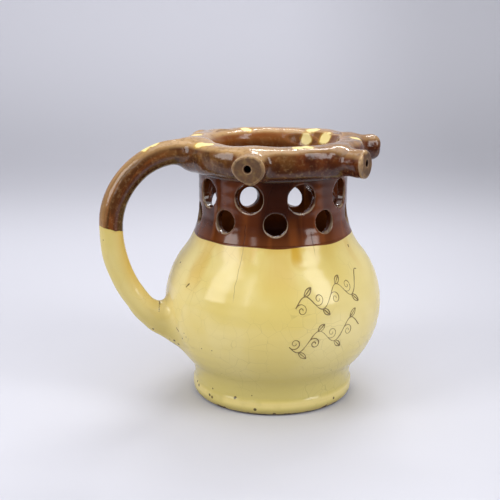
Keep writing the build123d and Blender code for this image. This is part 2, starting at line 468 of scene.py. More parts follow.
def pierced_wall_tree():
    """Geometry nodes that cut rings of round holes through a thrown wall."""
    rows = ("Upper", "Lower")
    inputs = {"Geometry": "Geometry"}
    inputs |= {f"{row} {what}": "Float" for row in rows for what in ("radius", "height", "heading")}
    inputs |= {"Holes": "Int", "Neck radius": "Float", "Glaze": "Material"}
    b, given = new_tree("Pierced wall", inputs)
    punch_faces, punch_length = 72, 24 * MM
    cutters = b.tree.nodes.new("GeometryNodeJoinGeometry")
    for row in rows:
        sockets = {"Vertices": given["Holes"], "Radius": given["Neck radius"]}
        ring = b.node("GeometryNodeMeshCircle", None, sockets)
        sockets = {
            "Geometry": ring,
            "Translation": b.join(0.0, 0.0, given[f"{row} height"]),
            "Rotation": b.join(0.0, 0.0, given[f"{row} heading"]),
        }
        ring = b.node("GeometryNodeTransform", None, sockets)
        sockets = {"Vertices": punch_faces, "Radius": given[f"{row} radius"], "Depth": punch_length}
        punch = b.node("GeometryNodeMeshCylinder", None, sockets)
        spot = b.split(b.node("GeometryNodeInputPosition"))
        outward = b.join(spot["X"], spot["Y"], 0.0)
        facing = b.node("FunctionNodeAlignRotationToVector", {"axis": "Z"}, {"Vector": outward})
        sockets = {"Points": ring, "Instance": punch, "Rotation": facing}
        placed = b.node("GeometryNodeInstanceOnPoints", None, sockets)
        b.link(placed, cutters.inputs[0])
    solid = b.node("GeometryNodeRealizeInstances", None, {"Geometry": Wire(b, cutters.outputs[0])})
    cut = b.node(
        "GeometryNodeMeshBoolean",
        {"operation": "DIFFERENCE", "solver": "MANIFOLD"},
        {"Mesh 1": given, "Mesh 2": solid},
    )
    return end_tree(b, cut, given["Glaze"])


def add_nodes(piece, tree, values):
    """Adds a Geometry Nodes modifier and sets its inputs by their identifiers."""
    modifier = piece.modifiers.new(tree.name, "NODES")
    modifier.node_group = tree
    for item in tree.interface.items_tree:
        if item.in_out == "INPUT" and item.name in values:
            modifier[item.identifier] = values[item.name]


def made_plain(piece):
    """The mesh that a working object's modifiers give; the object is deleted."""
    bpy.context.view_layer.update()
    shown = piece.evaluated_get(bpy.context.evaluated_depsgraph_get())
    mesh = bpy.data.meshes.new_from_object(shown)
    piece.modifiers.clear()
    bpy.data.objects.remove(piece)
    return mesh


def thrown_mesh(name, s, points, wobble, material, more=None):
    """A closed wall turned from a profile, and worked further by the modifiers that more adds."""
    line = line_object(f"{name}_line", [[(radius, 0, height) for radius, height in points]])
    piece = linked(f"{name}_work", bpy.data.meshes.new(name))
    values = {
        "Profile": line,
        "Segments": ROUND_FACES,
        "Rows": len(points) - 1,
        "Pitch": s.throwing_pitch,
        "Depth": s.throwing_depth,
        "Wobble": wobble,
        "Glaze": material,
    }
    tree = bpy.data.node_groups.get("Thrown wall") or thrown_wall_tree()
    add_nodes(piece, tree, values)
    if more:
        more(piece)
    mesh = made_plain(piece)
    bpy.data.objects.remove(line)
    mesh.name = name
    return mesh


def tidy_mesh(mesh, cuts=()):
    """Merges doubles, cuts at planes with closed caps, turns the faces outwards and shades smooth."""
    work = bmesh.new()
    work.from_mesh(mesh)
    bmesh.ops.remove_doubles(work, verts=work.verts, dist=SAME_POINT)
    caps = work.faces.layers.int.new("cap")
    for point, outward in cuts:
        geometry = work.verts[:] + work.edges[:] + work.faces[:]
        cut = bmesh.ops.bisect_plane(
            work, geom=geometry, dist=HAIR, plane_co=point, plane_no=outward, clear_outer=True
        )
        edges = [e for e in cut["geom_cut"] if isinstance(e, bmesh.types.BMEdge) and e.is_boundary]
        filled = bmesh.ops.triangle_fill(work, edges=edges, use_beauty=True, normal=outward)
        for face in filled["geom"]:
            if isinstance(face, bmesh.types.BMFace):
                face[caps] = 1
    bmesh.ops.dissolve_degenerate(work, dist=HAIR, edges=work.edges)
    bmesh.ops.recalc_face_normals(work, faces=work.faces)
    work.to_mesh(mesh)
    work.free()
    mesh.shade_smooth()
    mesh.set_sharp_from_angle(angle=SHARP_EDGE)
    mesh.update()


def round_shading(mesh, field):
    """Shades a hand-built piece by its distance field, so that it runs on across a cut. Cut faces stay flat."""
    corners, faces = len(mesh.loops), len(mesh.polygons)
    vertex, cap, size = np.zeros(corners, int), np.zeros(faces, int), np.zeros(faces, int)
    flat = np.zeros(faces * 3)
    mesh.loops.foreach_get("vertex_index", vertex)
    mesh.polygons.foreach_get("loop_total", size)
    mesh.polygons.foreach_get("normal", flat)
    mesh.attributes["cap"].data.foreach_get("value", cap)
    smooth = HandBuilt.slope(field, points_of(mesh))
    smooth /= np.maximum(np.linalg.norm(smooth, axis=1), 1e-9)[:, None]
    flat = np.repeat(flat.reshape(-1, 3), size, axis=0)
    normals = np.where(np.repeat(cap, size)[:, None] > 0, flat, smooth[vertex])
    mesh.normals_split_custom_set(normals.tolist())


def paint(mesh, name, values):
    """Keeps one number for each point of the mesh, for the glaze to read."""
    attribute = mesh.attributes.new(name, "FLOAT", "POINT")
    attribute.data.foreach_set("value", np.asarray(values, np.float32))


def points_of(mesh):
    """The places of a mesh's points."""
    points = np.zeros(len(mesh.vertices) * 3, np.float32)
    mesh.vertices.foreach_get("co", points)
    return points.reshape(-1, 3).astype(float)


def melt(first, second, run):
    """Two shapes run together: the lower of two distances, with a smooth hollow between them."""
    share = np.clip(0.5 + 0.5 * (second - first) / run, 0, 1)
    return second + (first - second) * share - run * share * (1 - share)


def carve(shape, tool, run):
    """A shape with a tool's hollow taken out of it, its edges rounded."""
    return -melt(-shape, tool, run)


def lump_waves(seed, shortest, longest, count=14):
    """Directions, phases and weights of the waves that make hand-built clay uneven."""
    draw = np.random.default_rng(seed)
    headings = draw.normal(size=(count, 3))
    headings /= np.linalg.norm(headings, axis=1)[:, None]
    lengths = draw.uniform(shortest * MM, longest * MM, count)
    return headings * (2 * pi / lengths)[:, None], draw.uniform(0, 2 * pi, count), lengths / lengths.sum()


SLOW_WAVES = lump_waves(7, 14, 40)
QUICK_WAVES = lump_waves(11, 5, 10)


def lumpy(x, y, z, waves=SLOW_WAVES):
    """An unevenness from about -1 to 1."""
    total = 0.0
    for (kx, ky, kz), phase, weight in zip(*waves):
        total = total + weight * np.sin(kx * x + ky * y + kz * z + phase)
    return total * 2.2


def handle_line(s):
    """Arcs and runs of the handle's middle line, as distance from the jug's middle and height."""
    rise, lift, finger_gap, sunk = radians(15), 1.3 * MM, 26.5 * MM, 14 * MM
    reach = s.belly_radius + finger_gap + s.handle_tube / 2
    bow = (reach - s.rim_radius) / (1 + sin(rise))
    # Radius and angle of each bend, or the length of a straight run
    bends = (
        (bow, radians(105), 0),
        (80 * MM, radians(33), 0),
        (0, 0, 6 * MM),
        (22 * MM, radians(29), 0),
    )
    place, heading, line = np.array([s.rim_radius, s.rim_height + lift]), rise, []
    for radius, turn, run in bends:
        if turn:
            centre = place + radius * np.array([sin(heading), -cos(heading)])
            line.append(("arc", centre, radius, heading + pi / 2, turn))
            heading -= turn
            place = centre + radius * np.array([-sin(heading), cos(heading)])
        else:
            line.append(("run", place, place + run * np.array([cos(heading), sin(heading)])))
            place = line[-1][2]
    root = (place[0] - s.belly_radius) / -cos(heading) + sunk
    line.append(("run", place, place + root * np.array([cos(heading), sin(heading)])))
    return line


def line_place(line, across, height):
    """The nearest place on the handle's middle line: how far off, how far outside and how far along."""
    nearest = np.full(np.shape(across), 1.0)
    outside = np.zeros(np.shape(across))
    along = np.zeros(np.shape(across))
    passed = 0.0
    for part in line:
        if part[0] == "arc":
            _, centre, radius, start, turn = part
            dx, dz = across - centre[0], height - centre[1]
            turned = np.clip((start - np.arctan2(dz, dx) + pi) % (2 * pi) - pi, 0, turn)
            distance = np.hypot(dx - radius * np.cos(start - turned), dz - radius * np.sin(start - turned))
            side = np.hypot(dx, dz) - radius
            here, run = turned * radius, turn * radius
        else:
            _, start, end = part
            run = np.linalg.norm(end - start)
            way = (end - start) / run
            dx, dz = across - start[0], height - start[1]
            here = np.clip(dx * way[0] + dz * way[1], 0, run)
            distance = np.hypot(dx - here * way[0], dz - here * way[1])
            side = dz * way[0] - dx * way[1]
        closer = distance < nearest
        nearest = np.where(closer, distance, nearest)
        outside = np.where(closer, side, outside)
        along = np.where(closer, passed + here, along)
        passed += run
    return nearest, outside, along


def line_distance(line, across, height):
    """Distance from the handle's middle line, in its own plane."""
    return line_place(line, across, height)[0]


# Each spout's heading in degrees; how its end leans sideways and upwards, and how oval it is; then in
# millimetres how much shorter and wider it is than the common size, and how far its end is rounded
SPOUTS = {
    "front_spout": (0.0, 0.06, -0.05, 1.0, 1.5, -1.0, 5.0),
    "left_back_spout": (120.0, -0.08, 0.04, 1.03, 4.5, -0.6, 3.6),
    "right_back_spout": (240.0, -0.10, -0.09, 1.08, 0.0, 0.1, 2.0),
    "right_front_spout": (300.0, 0.30, 0.02, 1.03, -0.6, -0.6, 2.6),
}

# Share of a spout's length at which it begins to flare
FLARE_START = 0.45
# Small dents on the spouts: how deep, how far from the jug's middle they begin, and over which length they grow
DENT_DEPTH, DENT_START, DENT_RUN = 0.18 * MM, 54 * MM, 16 * MM
# How far a bore widens towards a spout's end, and over which length
MOUTH_FLARE, MOUTH_LENGTH = 0.4 * MM, 1.5 * MM
# How far the edges of flakes, channels and small holes are rounded, and how deep a flake is
FLAKE_EDGE, CHANNEL_EDGE, HOLE_EDGE, FLAKE_DEPTH = 0.3 * MM, 0.5 * MM, 0.8 * MM, 0.35 * MM
# How far along the handle's first bend the concealed hole lies
SUCTION_PLACE = 0.32

# Middle of the clay pressed under the handle's root: distance from the jug's middle and height in millimetres
ROOT_CLAY = ((84.6, 63.0), (75.0, 52.2), (65.2, 45.9))

# Places on the rim and the handle where the glaze has flaked off: x, y, z and size in millimetres
FLAKES = (
    (-76.0, 0.0, 164.0, 3.4),
    (-81.2, 0.0, 162.2, 3.6),
    (-51.0, -15.0, 164.6, 3.6),
    (-46.4, -18.6, 164.9, 3.8),
    (-43.2, 22.0, 165.0, 3.8),
    (-4.4, 43.6, 164.4, 3.8),
    (36.2, 26.0, 164.6, 5.0),
    (30.6, 24.0, 159.2, 4.4),
    (38.6, 10.5, 161.3, 5.2),
    (-0.5, -48.0, 165.0, 3.6),
    (5.0, -47.4, 165.0, 4.2),
    (48.3, -17.2, 164.3, 4.2),
)


class HandBuilt:
    """The rim, the spouts and the handle as one run of clay: distances from its surface, below 0 inside."""

    def __init__(self, s):
        self.s = s
        self.line = handle_line(s)
        self.belly_centre, self.belly_curve = pot_arcs(s)[1][:2]
        self.flakes = []
        for *place, size in FLAKES:
            spot = np.array(place) * MM
            facing = self.slope(self.clay, spot[None])[0]
            facing /= np.linalg.norm(facing)
            ball = ((size * MM) ** 2 + FLAKE_DEPTH**2) / (2 * FLAKE_DEPTH)
            self.flakes.append((spot + facing * (ball - FLAKE_DEPTH), ball))

    def ring(self, x, y, z):
        """Distance from the middle line of the rim."""
        return np.hypot(np.hypot(x, y) - self.s.rim_radius, z - self.s.rim_height)

    def spout(self, x, y, z, name):
        """A waisted tube with an oval, hand-cut end, and the distance from its bore's middle line."""
        s = self.s
        heading, sideways, upwards, oval, shorter, wider, soft = SPOUTS[name]
        c, n = cos(radians(heading)), sin(radians(heading))
        out, side, up = x * c + y * n, y * c - x * n, z - s.rim_height
        root, tip = s.rim_radius, s.spout_tip - shorter * MM
        share = np.clip((out - root) / (tip - root), 0, 1.2)
        flare = (s.spout_end + wider * MM - s.spout_waist) / 2
        spread = s.spout_waist / 2 + flare * np.clip((share - FLARE_START) / (1 - FLARE_START), 0, 1.2) ** 2
        turn = np.arctan2(up, side)
        corners = 0.1 * MM * np.cos(5 * turn + heading) + 0.2 * MM * np.cos(3 * turn - 2 * heading)
        wall = np.hypot(side / oval, up * oval) - spread - corners * share**2
        end = out - tip + sideways * side + upwards * up
        shape = -melt(-wall, -end, soft * MM)
        shape = np.maximum(shape, root - out)
        return shape, np.hypot(side, up - s.spout_bore_lift), out, end

    def clay(self, x, y, z):
        """The outside of the rim, the spouts and the handle, run together."""
        s = self.s
        across, rise = np.abs(np.hypot(x, y) - s.rim_radius), np.abs(z - s.rim_height)
        shape = (across**3 + rise**3) ** (1 / 3) - s.rim_tube / 2
        for name in SPOUTS:
            shape = melt(shape, self.spout(x, y, z, name)[0], s.spout_melt)
        tube = np.hypot(line_distance(self.line, -x, z), y) - s.handle_tube / 2
        shape = melt(shape, tube, s.handle_melt) + s.lumps * lumpy(x, y, z)
        # The dents are worked out only on and near the spouts
        reach = np.clip((np.hypot(x, y) - DENT_START) / DENT_RUN, 0, 1)
        ends = (reach > 0) & (x > -50 * MM) & (shape < 12 * MM)
        shape[ends] += DENT_DEPTH * reach[ends] ** 2 * lumpy(x[ends], y[ends], z[ends], QUICK_WAVES)
        return shape

    def belly(self, x, y, z):
        """Distance from the belly's outside."""
        return np.hypot(np.hypot(x, y) - self.belly_centre[0], z - self.belly_centre[1]) - self.belly_curve

    def hollows(self, shape, x, y, z):
        """The same with the flakes, the channel and the bores taken out."""
        s = self.s
        for spot, ball in self.flakes:
            away = np.sqrt((x - spot[0]) ** 2 + (y - spot[1]) ** 2 + (z - spot[2]) ** 2) - ball
            shape = carve(shape, away, FLAKE_EDGE)
        shape = carve(shape, self.ring(x, y, z) - s.rim_channel / 2, CHANNEL_EDGE)
        for name in SPOUTS:
            _, off, out, end = self.spout(x, y, z, name)
            mouth = MOUTH_FLARE * np.clip((end + MOUTH_LENGTH) / MOUTH_LENGTH, 0, 1.5) ** 2
            bore = np.maximum(off - s.spout_bore / 2 - mouth, s.rim_radius - out)
            shape = carve(shape, bore, HOLE_EDGE)
        bore = np.hypot(line_distance(self.line, -x, z), y) - s.handle_bore / 2
        return carve(shape, np.maximum(bore, s.rim_radius + x), CHANNEL_EDGE)

    def suction(self, shape, x, y, z):
        """The same with the concealed hole under the handle's top, which runs in to the handle's bore."""
        s = self.s
        _, centre, radius, start, turn = self.line[0]
        angle = start - SUCTION_PLACE * turn
        across, height = -x - centre[0], z - centre[1]
        along = across * cos(angle) + height * sin(angle)
        off = np.hypot(height * cos(angle) - across * sin(angle), y) - s.suction_hole / 2
        ends = np.maximum(along - radius, radius - 2 * s.handle_tube - along)
        return carve(shape, np.maximum(off, ends), HOLE_EDGE)

    def rim(self, x, y, z):
        """The rim, with the beginnings of the spouts and the handle."""
        return self.hollows(self.clay(x, y, z), x, y, z)

    def handle(self, x, y, z):
        """The handle, spread out on the belly at its root."""
        s = self.s
        half, swell, run = 4 * MM, 3 * MM, 6 * MM
        skin_over, reach, sunk, soft = 0.1 * MM, 25 * MM, 2.5 * MM, 2 * MM
        shape = self.clay(x, y, z)
        belly = self.belly(x, y, z)
        middle = np.array(ROOT_CLAY) * MM
        pressed = [("run", start, end) for start, end in zip(middle, middle[1:])]
        away, _, along = line_place(pressed, -x, z)
        pressed = np.hypot(away, y) - half - np.clip(along / 4, 0, swell)
        shape = melt(shape, pressed + s.lumps * lumpy(x, y, z), run)
        shape = melt(shape, belly, s.handle_melt) + skin_over
        axis = np.hypot(line_distance(self.line, -x, z), y)
        # Only the clay near the handle is kept, and only a little way into the belly
        shape = -melt(-shape, reach - axis, soft)
        shape = -melt(-shape, sunk + belly, soft)
        return self.suction(self.hollows(shape, x, y, z), x, y, z)

    @staticmethod
    def slope(field, points, step=0.05 * MM):
        """Which way a distance grows fastest at each point, and how fast."""
        out = np.empty_like(points)
        for axis in range(3):
            move = np.zeros(3)
            move[axis] = step
            ahead, behind = points + move, points - move
            out[:, axis] = (field(*ahead.T) - field(*behind.T)) / (2 * step)
        return out

    @staticmethod
    def curvature(field, points, step=0.5 * MM):
        """How strongly the surface bulges at each point: above 0 on a ridge, below 0 in a hollow."""
        total = -6 * field(*points.T)
        for axis in range(3):
            move = np.zeros(3)
            move[axis] = step
            total += field(*(points + move).T) + field(*(points - move).T)
        return total / step**2


def skin(field, low, high, step):
    """A closed mesh over a distance field's surface: one point in each cell that the surface crosses."""
    axes = [np.arange(a, b + step, step) for a, b in zip(low, high)]
    count = [len(a) for a in axes]
    values = np.empty(count)
    y, z = np.meshgrid(axes[1], axes[2], indexing="ij")
    for i, x in enumerate(axes[0]):
        values[i] = field(np.full_like(y, x), y, z)
    for axis in range(3):
        ends = [slice(None)] * 3
        for end in (0, -1):
            ends[axis] = end
            values[tuple(ends)] = np.maximum(values[tuple(ends)], step)
    inside = values < 0
    total = np.zeros((int(np.prod(count)), 3))
    hits = np.zeros(int(np.prod(count)))
    strides = np.array([count[1] * count[2], count[2], 1])
    faces = []
    for axis in range(3):
        near = [slice(None)] * 3
        far = [slice(None)] * 3
        near[axis], far[axis] = slice(0, -1), slice(1, None)
        a, b = values[tuple(near)], values[tuple(far)]
        spots = np.argwhere(inside[tuple(near)] != inside[tuple(far)])
        here = tuple(spots.T)
        crossing = spots.astype(float)
        crossing[:, axis] += a[here] / (a[here] - b[here])
        u, v = [k for k in range(3) if k != axis]
        corners = []
        for du, dv in ((0, 0), (1, 0), (1, 1), (0, 1)):
            cell = spots.copy()
            cell[:, u] -= du
            cell[:, v] -= dv
            number = cell @ strides
            np.add.at(total, number, crossing)
            np.add.at(hits, number, 1)
            corners.append(number)
        quads = np.stack(corners, 1)
        flip = inside[tuple(near)][here] == (axis == 1)
        quads[flip] = quads[flip][:, ::-1]
        faces.append(quads)
    used = np.flatnonzero(hits)
    numbers = np.full(len(hits), -1)
    numbers[used] = np.arange(len(used))
    points = total[used] / hits[used][:, None] * step + np.array([a[0] for a in axes])
    return points, numbers[np.concatenate(faces)]


def clay_mesh(name, field, low, high, step, turn=0.0):
    """The mesh of a hand-built piece, its points settled on the surface, with how strongly it bulges there."""
    c, n = cos(turn), sin(turn)

    def turned(x, y, z):
        return field(x * c - y * n, x * n + y * c, z)

    settlings, least_slope, furthest = 2, 0.25, 0.4 * step
    points, quads = skin(turned, low, high, step)
    for _ in range(settlings):
        grow = HandBuilt.slope(turned, points)
        size = np.maximum((grow**2).sum(1), least_slope)
        move = turned(*points.T) / size
        points = points - grow * np.clip(move, -furthest, furthest)[:, None]
    bulge = HandBuilt.curvature(turned, points)
    grow = HandBuilt.slope(turned, points)
    up = grow[:, 2] / np.maximum(np.linalg.norm(grow, axis=1), 1e-9)
    x, y, z = points.T
    points = np.stack([x * c - y * n, x * n + y * c, z], 1)
    mesh = bpy.data.meshes.new(name)
    mesh.from_pydata(points.tolist(), [], quads.tolist())
    paint(mesh, "bulge", bulge * MM)
    paint(mesh, "up", up)
    return mesh


class Coat:
    """A glaze in the making: its material, and where each point lies on the jug."""

    def __init__(self, name, scene):
        self.material = bpy.data.materials.new(name)
        self.material.use_nodes = True
        self.sizes, self.colours = scene.jug_sizes, scene.glaze_colours
        self.board = b = Board(self.material.node_tree)
        self.place = b.node("ShaderNodeTexCoord", None, None, "Object")
        spot = b.split(self.place)
        self.x, self.y, self.z = spot["X"], spot["Y"], spot["Z"]
        self.radius = (self.x * self.x + self.y * self.y).math("SQRT")
        self.angle = self.y.math("ARCTAN2", self.x)

    def painted(self, name):
        """A number kept for each point of the mesh."""
        return self.board.node("ShaderNodeAttribute", {"attribute_name": name}, None, "Fac")

    def flow(self, scale, stretch=0.1, detail=2.0):
        """Noise drawn out up and down the pot, as glaze runs."""
        b = self.board
        share = 50 * MM / self.radius
        return b.noise(b.join(self.x * share, self.y * share, self.z * stretch), scale, detail)

    def runs(self, places):
        """Upright runs of glaze: heading and half width in degrees, two heights in millimetres, strength."""
        ragged = self.flow(190.0, 0.2) - 0.5
        found = []
        for heading, half, low, high, strength in places:
            away = (self.angle - radians(heading) + ragged * radians(half)).math("ABSOLUTE")
            run = away.step(radians(half), radians(half * 0.2)) * strength
            run = run * self.z.step(low * MM, (low * 0.6 + high * 0.4) * MM)
            found.append(run * self.z.step(high * MM, (low * 0.4 + high * 0.6) * MM))
        return reduce(Wire.high, found)

    def cracks(self, places, half=0.13 * MM):
        """Fine upright cracks that wander: heading in degrees, two heights in millimetres, and lean."""
        b, found = self.board, []
        for heading, low, high, lean in places:
            wander = (b.noise(b.join(self.z, heading, 0.0), 110.0, 3.0) - 0.5) * (3.5 * MM)
            aside = wander + (self.z - low * MM) * lean
            away = ((self.angle - radians(heading)) * self.radius - aside).math("ABSOLUTE")
            ends = self.z.step((low - 1) * MM, (low + 5) * MM) * self.z.step((high + 1) * MM, (high - 2) * MM)
            found.append(away.step(half * 2.2, half * 0.7) * ends)
        return reduce(Wire.high, found)

    def spots(self, places, ragged=0.9):
        """Distance from spots, given as x, y, z and size in millimetres: 1 on a ragged edge, less inside."""
        b = self.board
        edge = (b.noise(self.place, 170.0, 4.0, 0.6) - 0.5) * (2 * ragged)
        away = [
            b.vector("DISTANCE", self.place, (x * MM, y * MM, z * MM), out="Value") / (size * MM)
            for x, y, z, size in places
        ]
        return reduce(Wire.low, away) + edge

    def crazing(self, scale, half):
        """Fine net of cracks in the glaze: half the width of a line in millimetres."""
        b = self.board
        grain = b.node("ShaderNodeTexNoise", None, {"Vector": self.place, "Scale": 60.0}, "Color")
        warp = b.node("ShaderNodeVectorMath", {"operation": "SCALE"}, {0: grain, "Scale": 6 * MM})
        sockets = {"Vector": b.vector("ADD", self.place, warp), "Scale": scale}
        edge = b.node("ShaderNodeTexVoronoi", {"feature": "DISTANCE_TO_EDGE"}, sockets, "Distance") / scale
        return edge.step(half * 1.8 * MM, half * 0.5 * MM) * b.noise(self.place, 26.0, 2.0).step(0.42, 0.62)

    def over(self, tone, *layers):
        """A tone under layers, each given as where it lies and its colour."""
        for mask, colour in layers:
            tone = self.board.mix(mask, tone, colour)
        return tone

    def honey(self, depth):
        """Honey glaze: pale where thin, amber where it ran thick under the brown, olive and darker towards the
        foot, partly as painted shade of the lower belly.
        """
        b, c, z = self.board, self.colours, self.z
        streak, fine = self.flow(40.0, 0.16), self.flow(150.0, 0.12)
        run = streak.step(0.46, 0.70) * (15 * MM) + fine.step(0.35, 0.7) * (5 * MM) + 2 * MM
        return self.over(
            c.honey,
            (b.noise(self.place, 17.0, 3.0).step(0.40, 0.64), c.cream),
            (streak.step(0.54, 0.78) * z.step(48 * MM, 92 * MM) * 0.12, c.amber),
            ((depth / run).step(1.0, 0.0) * 0.28, c.amber),
            # Olive towards the foot: partly the glaze's greener tone, partly painted shade
            (z.step(64 * MM, 14 * MM) * 0.85, c.olive),
            (self.crazing(135.0, 0.08) * 0.2, c.clay),
        )

    def brown(self):
        """Brown glaze: red-brown, nearly black where thick, amber where it ran thin."""
        c, joint = self.colours, self.sizes.joint_height
        streak, fine = self.flow(36.0, 0.14), self.flow(120.0, 0.1)
        return self.over(
            c.dark_brown,
            (streak.step(0.38, 0.66), c.brown),
            (fine.step(0.54, 0.76) * 0.45, c.amber_brown),
            (self.z.step(joint + 11 * MM, joint) * 0.33, c.amber_brown),
        )

    def finish(self, tone, roughness, height):
        """Ends the glaze: its colour, its shine, and its unevenness in metres."""
        b = self.board
        shader = b.tree.nodes["Principled BSDF"]
        bump = b.node("ShaderNodeBump", None, {"Strength": 1.0, "Distance": 1.0, "Height": height})
        for name, wire in (("Base Color", tone), ("Roughness", roughness), ("Normal", bump)):
            b.link(wire, shader.inputs[name])
        return self.material

    def hand_marks(self):
        """Dents and ridges that hands leave in soft clay, in metres."""
        b = self.board
        slow, quick = b.noise(self.place, 75.0, 3.0, 0.55), b.noise(self.place, 230.0, 3.0, 0.6)
        return slow * (0.5 * MM) + quick * (0.2 * MM)

    def orange_peel(self):
        """The slight waves of fired glaze, in metres."""
        b = self.board
        return b.noise(self.place, 130.0, 1.0) * (0.07 * MM) + b.noise(self.place, 700.0, 1.0) * (0.01 * MM)


# Runs of amber glaze on the belly and the neck: heading and half width in degrees, lower and upper end in
# millimetres, and strength
BELLY_RUNS = (
    (-93.5, 6.0, 92, 116, 0.85),
    (-157, 9.0, 72, 116, 0.45),
    (-46, 4.5, 82, 116, 0.7),
    (-122, 3.0, 94, 116, 0.3),
    (-104, 13.0, 74, 122, 0.34),
    (60, 5.0, 84, 112, 0.6),
    (110, 8.0, 80, 114, 0.4),
)
NECK_RUNS = (
    (-156, 2.8, 96, 140, 0.35),
    (-94, 6.0, 92, 128, 0.35),
    (-70, 3.0, 96, 140, 0.3),
    (-20, 4.0, 96, 138, 0.3),
    (95, 5.0, 96, 140, 0.3),
)

# Cracks in the belly and the neck: heading in degrees, lower and upper end in millimetres, and lean
BELLY_CRACKS = ((-128.7, 76, 108, 0.0), (-79.6, 100, 108, 0.0), (150, 60, 100, 0.1))
NECK_CRACKS = ((-128.7, 104, 119, 0.0), (-79.6, 104, 114, 0.0))

# Specks and scars in the honey glaze: x, y, z and size in millimetres
SPECKS = (
    (-35.9, -36.0, 10.0, 1.0),
    (-62.0, -21.4, 79.3, 0.5),
    (-61.6, -22.0, 80.0, 0.65),
    (-61.1, -22.5, 80.8, 0.65),
    (-60.7, -23.1, 81.4, 0.5),
    (-60.7, -1.0, 89.3, 0.6),
    (36.4, -36.9, 101.8, 0.6),
    (36.6, -37.3, 101.0, 0.5),
    (-67.0, -14.6, 51.3, 0.45),
    (-66.5, -15.2, 50.5, 0.45),
    (-66.1, -15.9, 49.8, 0.45),
    (-64.3, -18.2, 45.5, 0.5),
    (-64.2, -22.4, 50.3, 0.4),
    (-63.2, -23.6, 48.1, 0.4),
    (-67.2, -8.9, 41.3, 0.8),
    (-63.9, -6.7, 35.9, 1.2),
    (-64.9, -10.1, 39.1, 0.8),
    (-66.7, -5.2, 38.0, 0.9),
    (-60.6, -6.3, 32.1, 0.8),
    (-69.7, -6.1, 41.6, 0.5),
    (-79.9, -5.3, 49.0, 0.6),
    (-74.5, -1.6, 65.3, 0.5),
    (-74.8, -2.8, 64.9, 0.5),
    (-75.1, -4.0, 64.4, 0.5),
    (-75.5, -5.2, 63.5, 0.5),
    (-75.8, -6.2, 62.6, 0.45),
    (-76.0, -6.8, 61.7, 0.45),
    (-76.2, -7.2, 60.8, 0.4),
    (-108.6, -4.3, 107.8, 0.4),
    (-56.4, -34.8, 43.8, 0.5),
    (-51.8, -41.6, 44.3, 0.4),
    (-45.9, -20.5, 11.2, 0.6),
    (-46.6, -21.3, 5.9, 0.9),
    (-47.5, -19.1, 6.5, 0.9),
    (-50.9, -5.4, 8.3, 1.0),
    (-50.9, -1.3, 9.5, 0.9),
    (-50.3, -0.7, 13.8, 0.6),
    (-27.1, -42.6, 12.9, 0.4),
    (-25.7, -44.6, 4.4, 0.9),
    (-14.6, -48.3, 1.6, 1.0),
    (26.1, -44.4, 5.5, 0.8),
    (40.0, -32.0, 4.0, 0.7),
    (30.0, 55.0, 70.0, 0.7),
    (-20.0, 62.0, 52.0, 0.5),
)


def honey_coat(scene):
    """Honey glaze of the belly, brown inside the pot and above the glaze line, bare under the foot, with
    painted light on the upper right and on the foot's band and a painted contact shadow at the foot.
    """
    coat = Coat("belly_coat", scene)
    b, c, z = coat.board, coat.colours, coat.z
    line = coat.sizes.joint_height - 0.9 * MM + (coat.flow(36.0, 0.0, 0.0) - 0.5) * (3.0 * MM)
    depth = line - z
    # Pale foot band: thin glaze, and a painted highlight along the band's upper edge
    lip = z.step(10.5 * MM, 8 * MM) * z.step(4 * MM, 6.5 * MM) * b.noise(coat.place, 60.0, 3.0).step(0.25, 0.5)
    crack = coat.cracks(BELLY_CRACKS)
    worn = b.noise(coat.place, 120.0, 4.0, 0.6)
    edge = (worn + z.step(6.5 * MM, 0.5 * MM) * 0.3).step(0.78, 0.84)
    tone = coat.over(
        coat.honey(depth),
        (coat.runs(BELLY_RUNS), c.amber),
        # Painted light: the upper right of the belly is painted paler, for the light and reflection from the
        # right
        (coat.x.step(15 * MM, 50 * MM) * z.step(55 * MM, 80 * MM) * 0.85, c.cream),
        (lip * 0.5, c.chip),
        (z.step(5 * MM, 2.5 * MM) * 0.22, c.khaki),
        (crack * 0.42, c.clay),
        (coat.spots(SPECKS).step(1.1, 0.9) * 0.85, c.dark_brown),
        (edge * 0.85, c.clay),
        # Bare clay at the foot's bottom, widened as a painted contact shadow
        (z.step(1.5 * MM, 0.8 * MM), c.clay),
        (coat.painted("ink") * 0.8, c.clay),
        (depth.step(0.12 * MM, -0.12 * MM).high(coat.painted("inside")), coat.brown()),
    )
    bare = z.step(0.8 * MM, 0.3 * MM).high(edge * 0.8)
    roughness = bare * 0.6 + b.noise(coat.place, 40.0, 3.0) * 0.12 + 0.1
    height = coat.orange_peel() - crack * (0.05 * MM) - edge * (0.2 * MM)
    return coat.finish(tone, roughness, height)


